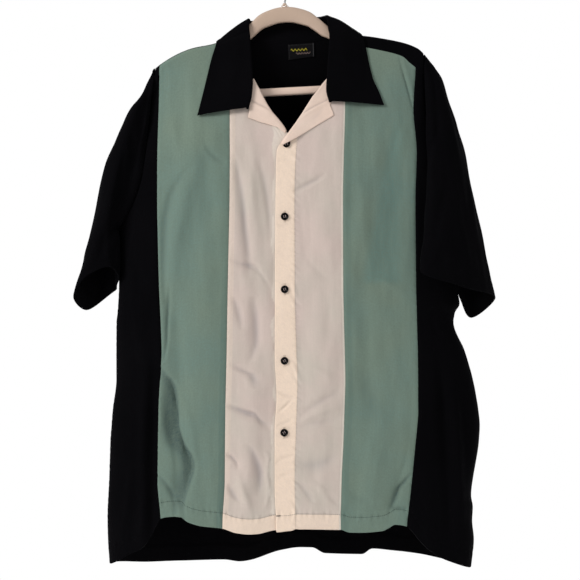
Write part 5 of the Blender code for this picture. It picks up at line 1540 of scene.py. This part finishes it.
class Nodes:
    """Short way of adding and joining shader nodes.  A value is a constant or the output of a node."""

    def __init__(self, name):
        self.material = bpy.data.materials.new(name)
        self.material.use_nodes = True
        self.tree = self.material.node_tree
        self.shader = self.tree.nodes["Principled BSDF"]

    def feed(self, socket, value):
        if isinstance(value, bpy.types.NodeSocket):
            self.tree.links.new(value, socket)
        else:
            socket.default_value = (*value, 1.0) if socket.type == "RGBA" else value

    def add(self, kind, inputs=None, **settings):
        """A node with its settings, and values for some of its inputs."""
        node = self.tree.nodes.new(kind)
        for key, value in settings.items():
            setattr(node, key, value)
        for key, value in (inputs or {}).items():
            self.feed(node.inputs[key], value)
        return node

    def shade(self, inputs):
        """Gives values to inputs of the material's shader."""
        for key, value in inputs.items():
            self.feed(self.shader.inputs[key], value)

    def object_place(self):
        return self.add("ShaderNodeTexCoord").outputs["Object"]

    def cloth_place(self):
        return self.add("ShaderNodeUVMap", uv_map="cloth").outputs["UV"]

    def mark(self, name):
        return self.add("ShaderNodeAttribute", attribute_name=name).outputs["Fac"]

    def mapped(self, place, scale=(1.0, 1.0, 1.0), turn=0.0):
        return self.add("ShaderNodeMapping", {"Vector": place, "Scale": scale,
                                              "Rotation": (0.0, 0.0, turn)}).outputs["Vector"]

    def noise(self, place, scale, detail=3.0, roughness=0.55):
        return self.add("ShaderNodeTexNoise", {"Vector": place, "Scale": scale, "Detail": detail,
                                               "Roughness": roughness}).outputs["Fac"]

    def bands(self, place, direction, width, distortion, detail):
        """Soft bands across a direction, each about as wide as the width."""
        inputs = {"Vector": place, "Scale": 0.314 / width, "Distortion": distortion, "Detail": detail}
        return self.add("ShaderNodeTexWave", inputs, wave_type="BANDS", bands_direction=direction,
                        wave_profile="SIN").outputs["Fac"]

    def math(self, operation, *values):
        node = self.add("ShaderNodeMath", operation=operation)
        for socket, value in zip(node.inputs, values):
            self.feed(socket, value)
        return node.outputs[0]

    def times(self, first, second):
        return self.math("MULTIPLY", first, second)

    def plus(self, first, second):
        return self.math("ADD", first, second)

    def between(self, value, low, high):
        return self.times(self.math("GREATER_THAN", value, low), self.math("LESS_THAN", value, high))

    def ramp(self, value, low, high):
        """0 to 1 as a value goes from low to high."""
        return self.add("ShaderNodeMapRange", {"Value": value, "From Min": low, "From Max": high},
                        clamp=True).outputs["Result"]

    def mix(self, part, first, second):
        node = self.add("ShaderNodeMix", {"Factor": part}, data_type="RGBA")
        colors = [socket for socket in node.inputs if socket.type == "RGBA"]
        for socket, value in zip(colors, (first, second)):
            self.feed(socket, value)
        return next(socket for socket in node.outputs if socket.type == "RGBA")

    def bump(self, height, strength, distance, under=None):
        """Normal of a relief, laid over the normal under it."""
        inputs = {"Height": height, "Strength": strength, "Distance": distance}
        return self.add("ShaderNodeBump", inputs | ({"Normal": under} if under else {})).outputs["Normal"]


def toned(color, part, most=1.0):
    """The colour made darker (part below 1) or lighter, with no channel above the most."""
    return tuple(min(channel * part, most) for channel in color)


def weave(nodes, place, thread, lean):
    """Height of a twill: slanted ribs crossed by finer threads."""
    ribs = nodes.bands(nodes.mapped(place, turn=lean), "X", thread, 0.5, 1.0)
    threads = nodes.bands(place, "Y", thread * 0.6, 0.4, 2.0)
    return nodes.plus(nodes.times(ribs, 0.65), nodes.times(threads, 0.35))


def cloth_material(name, color, shade, lean, sheen, sheen_tint, lint=0.0, doubled=None, gloss=0.12,
                   heathered=0.2, crease_shading=0.55, mottled=0.12, lining=(0.76, 0.70, 0.61)):
    """Woven cloth: a colour that drifts to a shade of it, a fine twill, slubs, soft nap and a little lint.

    The ribs of the twill lean by some degrees.  Cloth with a colour doubled reads its marks: it has that
    colour where it lies double and the colour lining where another layer shows through, and deep in its folds
    it has painted shade, duller and bluer.
    """
    nodes = Nodes(name)
    place = nodes.cloth_place()
    drift = nodes.ramp(nodes.noise(nodes.object_place(), 9.0), 0.36, 0.64)
    heather = nodes.ramp(nodes.noise(place, 380.0, 2.0, 0.7), 0.3, 0.7)
    mottle = nodes.ramp(nodes.noise(place, 120.0, 4.0, 0.65), 0.35, 0.65)
    slub = nodes.ramp(nodes.noise(nodes.mapped(place, (1.0, 0.06, 1.0)), 420.0, 2.0), 0.45, 0.7)
    base = nodes.mix(nodes.times(drift, 0.9), color, shade)
    if doubled:
        base = nodes.mix(nodes.mark("doubled"), base, doubled)
        base = nodes.mix(nodes.mark("lining"), base, lining)
        # Painted shade: down in its creases the cloth is coloured darker and bluer
        crease_shade_color = tuple(channel * part for channel, part in zip(color, (0.40, 0.48, 0.60)))
        base = nodes.mix(nodes.times(nodes.mark("crease_shade"), crease_shading), base, crease_shade_color)
    base = nodes.mix(nodes.times(mottle, mottled), base, toned(color, 0.8))
    base = nodes.mix(nodes.times(heather, heathered), base, toned(color, 0.8))
    base = nodes.mix(nodes.times(slub, 0.10), base, toned(color, 1.22, 0.95))
    if lint:
        cells = nodes.add("ShaderNodeTexVoronoi", {"Vector": place, "Scale": 90.0}, feature="F1")
        dot = nodes.math("LESS_THAN", cells.outputs["Distance"], 0.045)
        rare = nodes.math("GREATER_THAN", nodes.noise(place, 31.0, 1.0), 0.62)
        pale = tuple(min(channel * 2 + 0.12, 0.9) for channel in color)
        base = nodes.mix(nodes.times(nodes.times(dot, rare), lint), base, pale)
    woven = nodes.bump(weave(nodes, place, THREAD, math.radians(lean)), 0.35, THREAD * 0.22)
    nodes.shade({
        "Base Color": base,
        "Normal": nodes.bump(nodes.noise(place, 160.0, 4.0, 0.6), 0.25, 0.6 * MM, woven),
        "Roughness": nodes.plus(nodes.times(heather, 0.08), 0.84),
        "Specular IOR Level": gloss,
        "Sheen Weight": sheen,
        "Sheen Roughness": 0.5,
        "Sheen Tint": sheen_tint,
    })
    return nodes.material


def thread_material(name, color):
    nodes = Nodes(name)
    place = nodes.object_place()
    nodes.shade({
        "Base Color": nodes.mix(nodes.noise(place, 900.0, 2.0), toned(color, 0.75), toned(color, 1.2, 0.95)),
        "Normal": nodes.bump(nodes.noise(place, 4000.0, 1.0), 0.4, 0.05 * MM),
        "Roughness": 0.7,
        "Specular IOR Level": 0.05,
    })
    return nodes.material


def label_material():
    """Black satin tape with a woven border and two plain woven waves."""
    nodes = Nodes("label_weave")
    place = nodes.cloth_place()
    parts = nodes.add("ShaderNodeSeparateXYZ", {"Vector": place})
    across, up = parts.outputs["X"], parts.outputs["Y"]
    threads = nodes.math("GREATER_THAN", weave(nodes, place, 0.45 * MM, 0.0), 0.25)

    def wave(middle, height, length, width, first, last):
        swing = nodes.times(nodes.math("SINE", nodes.times(across, 2 * math.pi / length)), height)
        away = nodes.math("ABSOLUTE", nodes.math("SUBTRACT", up, nodes.plus(swing, middle)))
        line = nodes.times(nodes.math("LESS_THAN", away, width), nodes.between(across, first, last))
        return nodes.times(line, threads)
    yellow = wave(-9.0 * MM, 1.3 * MM, 5.4 * MM, 0.8 * MM, -16 * MM, 9 * MM)
    pink = wave(-14.5 * MM, 1.0 * MM, 4.2 * MM, 0.42 * MM, -8 * MM, 14 * MM)
    base = nodes.mix(nodes.noise(place, 300.0), (0.0022, 0.0020, 0.0026), (0.0045, 0.0040, 0.0048))
    base = nodes.mix(yellow, base, (0.42, 0.36, 0.03))
    base = nodes.mix(pink, base, (0.34, 0.24, 0.21))
    raised = nodes.plus(weave(nodes, place, 0.45 * MM, 0.4), nodes.plus(yellow, pink))
    nodes.shade({
        "Base Color": nodes.mix(nodes.between(across, 18.2 * MM, 18.8 * MM), base, (0.07, 0.067, 0.07)),
        "Normal": nodes.bump(raised, 0.4, 0.1 * MM),
        "Roughness": 0.6,
        "Specular IOR Level": 0.06,
    })
    return nodes.material


def moulded_material(name, color, shade, roughness, bump_height, coat=0.0, gloss=0.5, low=None):
    """Moulded plastic: slight drift of the colour, a fine orange peel and scuffed, uneven gloss.

    The colour low is that of its lowest part, which was moulded apart and has yellowed less.
    """
    nodes = Nodes(name)
    place = nodes.object_place()
    base = nodes.mix(nodes.ramp(nodes.noise(place, 22.0), 0.3, 0.7), color, shade)
    if low:
        height = nodes.add("ShaderNodeSeparateXYZ", {"Vector": place}).outputs["Z"]
        base = nodes.mix(nodes.ramp(height, BAR_HEIGHT + 40 * MM, BAR_HEIGHT + 20 * MM), base, low)
    scuff = nodes.ramp(nodes.noise(place, 240.0, 4.0, 0.7), 0.5, 0.8)
    nodes.shade({
        "Base Color": base,
        "Normal": nodes.bump(nodes.noise(place, 700.0), 0.3, bump_height),
        "Roughness": nodes.plus(nodes.times(scuff, 0.15), roughness),
        "Specular IOR Level": gloss,
        "Coat Weight": coat,
        "Coat Roughness": 0.12,
    })
    return nodes.material


def steel_material():
    """Dull wire with fine draw lines."""
    nodes = Nodes("hook_steel_wire")
    place = nodes.object_place()
    nodes.shade({
        "Base Color": nodes.mix(nodes.noise(place, 60.0), (0.20, 0.20, 0.205), (0.30, 0.295, 0.29)),
        "Metallic": 1.0,
        "Roughness": nodes.plus(nodes.times(nodes.noise(place, 500.0), 0.15), 0.18),
    })
    return nodes.material


def make_looks():
    """Each look's material and the slot of the pieces that have it."""
    black = cloth_material(
        "black_twill", (0.0014, 0.0013, 0.0018), (0.0021, 0.0019, 0.0025), 28.0, 0.004, (0.8, 0.8, 1.0),
        lint=0.08, gloss=0.025, mottled=0.3)
    green = cloth_material(
        "green_twill", (0.168, 0.224, 0.177), (0.138, 0.216, 0.192), -30.0, 0.03, (0.9, 1.0, 0.95),
        doubled=(0.090, 0.152, 0.136), heathered=0.8, crease_shading=1.0, mottled=0.3, lining=(0.108, 0.202, 0.186))
    white = cloth_material(
        "white_twill", (0.590, 0.485, 0.435), (0.525, 0.475, 0.410), 30.0, 0.03, (1.0, 0.97, 0.94),
        doubled=(0.835, 0.672, 0.535))
    facing = cloth_material(
        "white_twill_doubled", (0.745, 0.580, 0.486), (0.695, 0.565, 0.480), 30.0, 0.03, (1.0, 0.97, 0.94),
        doubled=(0.740, 0.600, 0.480))
    button = moulded_material(
        "button_plastic", (0.0012, 0.0010, 0.0014), (0.002, 0.0016, 0.002), 0.24, 0.02 * MM, coat=0.03,
        gloss=0.07)
    plastic = moulded_material(
        "hanger_plastic", (0.50, 0.37, 0.285), (0.47, 0.345, 0.262), 0.36, 0.05 * MM, coat=0.1,
        low=(0.76, 0.58, 0.475))
    return {
        "black": (black, "black_cloth"),
        "green": (green, "green_cloth"),
        "white": (white, "white_cloth"),
        "facing": (facing, "white_cloth"),
        "label": (label_material(), "label"),
        "button": (button, "button"),
        "plastic": (plastic, "hanger_plastic"),
        "steel": (steel_material(), "hook_steel"),
        "dark_thread": (thread_material("dark_thread", (0.0016, 0.0016, 0.002)), "black_cloth"),
        "pale_thread": (thread_material("pale_thread", (0.56, 0.47, 0.39)), "white_cloth"),
        "grey_thread": (thread_material("grey_thread", (0.05, 0.05, 0.05)), "label"),
        # The button thread is pale partly as painted highlight: its colour stands for the thread and also for
        # the small glints on the buttons
        "button_thread_painted_glint": (thread_material("button_thread_painted_glint", (0.48, 0.39, 0.37)), "black_cloth"),
    }


LOOKS = make_looks()


# --------------------------------------------------------------------------------------- camera and light

CAMERA_PLACE = (8.25 * MM, -1940.0 * MM, -491.0 * MM)
CAMERA_LENS = 78.6
FLOOR_HEIGHT = -1250.0 * MM
FLOOR_NEAR, FLOOR_FAR, FLOOR_HALF = -6.0, 1.3, 6.0
ROOM_LIGHT = 0.46               # what lights the shirt from all round
BACKDROP_LIGHT = 1.0            # what the camera sees behind it
LIGHT_AIM = (0.0, 0.0, -0.5)
LIGHTS = (
    # name, place, size, power
    ("key", (-2.2, -1.6, 0.9), 1.0, 64.0),
    ("fill", (1.9, -1.9, 0.2), 1.8, 6.0),
    ("back", (0.1, 2.8, 0.3), 1.2, 185.0),
)


def build_stage():
    camera = add_object("camera", bpy.data.cameras.new("camera"))
    camera.location = CAMERA_PLACE
    camera.rotation_euler = (math.radians(90), 0.0, 0.0)
    camera.data.lens = CAMERA_LENS
    camera.data.sensor_width = 36.0
    bpy.context.scene.camera = camera

    corners = [(x * FLOOR_HALF, y, FLOOR_HEIGHT)
               for x, y in ((-1, FLOOR_NEAR), (1, FLOOR_NEAR), (1, FLOOR_FAR), (-1, FLOOR_FAR))]
    mesh = make_mesh("floor", corners, [(0, 1, 2, 3)])
    paint = Nodes("floor_paint")
    paint.shade({"Base Color": (0.80, 0.80, 0.80), "Roughness": 0.9})
    mesh.materials.append(paint.material)
    add_object("floor", mesh)

    world = bpy.data.worlds.new("studio")
    world.use_nodes = True
    nodes, links = world.node_tree.nodes, world.node_tree.links
    nodes["Background"].inputs["Color"].default_value = (1.0, 1.0, 1.0, 1.0)
    level = nodes.new("ShaderNodeMapRange")
    level.inputs["To Min"].default_value = ROOM_LIGHT
    level.inputs["To Max"].default_value = BACKDROP_LIGHT
    links.new(nodes.new("ShaderNodeLightPath").outputs["Is Camera Ray"], level.inputs["Value"])
    links.new(level.outputs["Result"], nodes["Background"].inputs["Strength"])
    bpy.context.scene.world = world

    for name, place, size, power in LIGHTS:
        light = bpy.data.lights.new(name, "AREA")
        light.size = size
        light.energy = power
        item = add_object(name, light)
        item.location = place
        x, y, z = np.array(LIGHT_AIM) - place
        item.rotation_euler = (math.atan2(math.hypot(x, y), -z), 0.0, math.atan2(x, -y) + math.pi)


def main():
    bpy.context.scene.view_settings.view_transform = "Standard"
    build_stage()
    fronts = build_fronts()
    back = build_back()
    for build in (build_sleeve, build_armhole_tape):
        for side in (RIGHT, LEFT):
            build(side, fronts, back)
    build_collar()
    for side in (RIGHT, LEFT):
        build_lapel(side)
    build_label()
    build_buttons()
    build_buttonholes(fronts["front_left_white"])
    build_hanger()
    build_neck_of_hook()
    build_hook()


main()
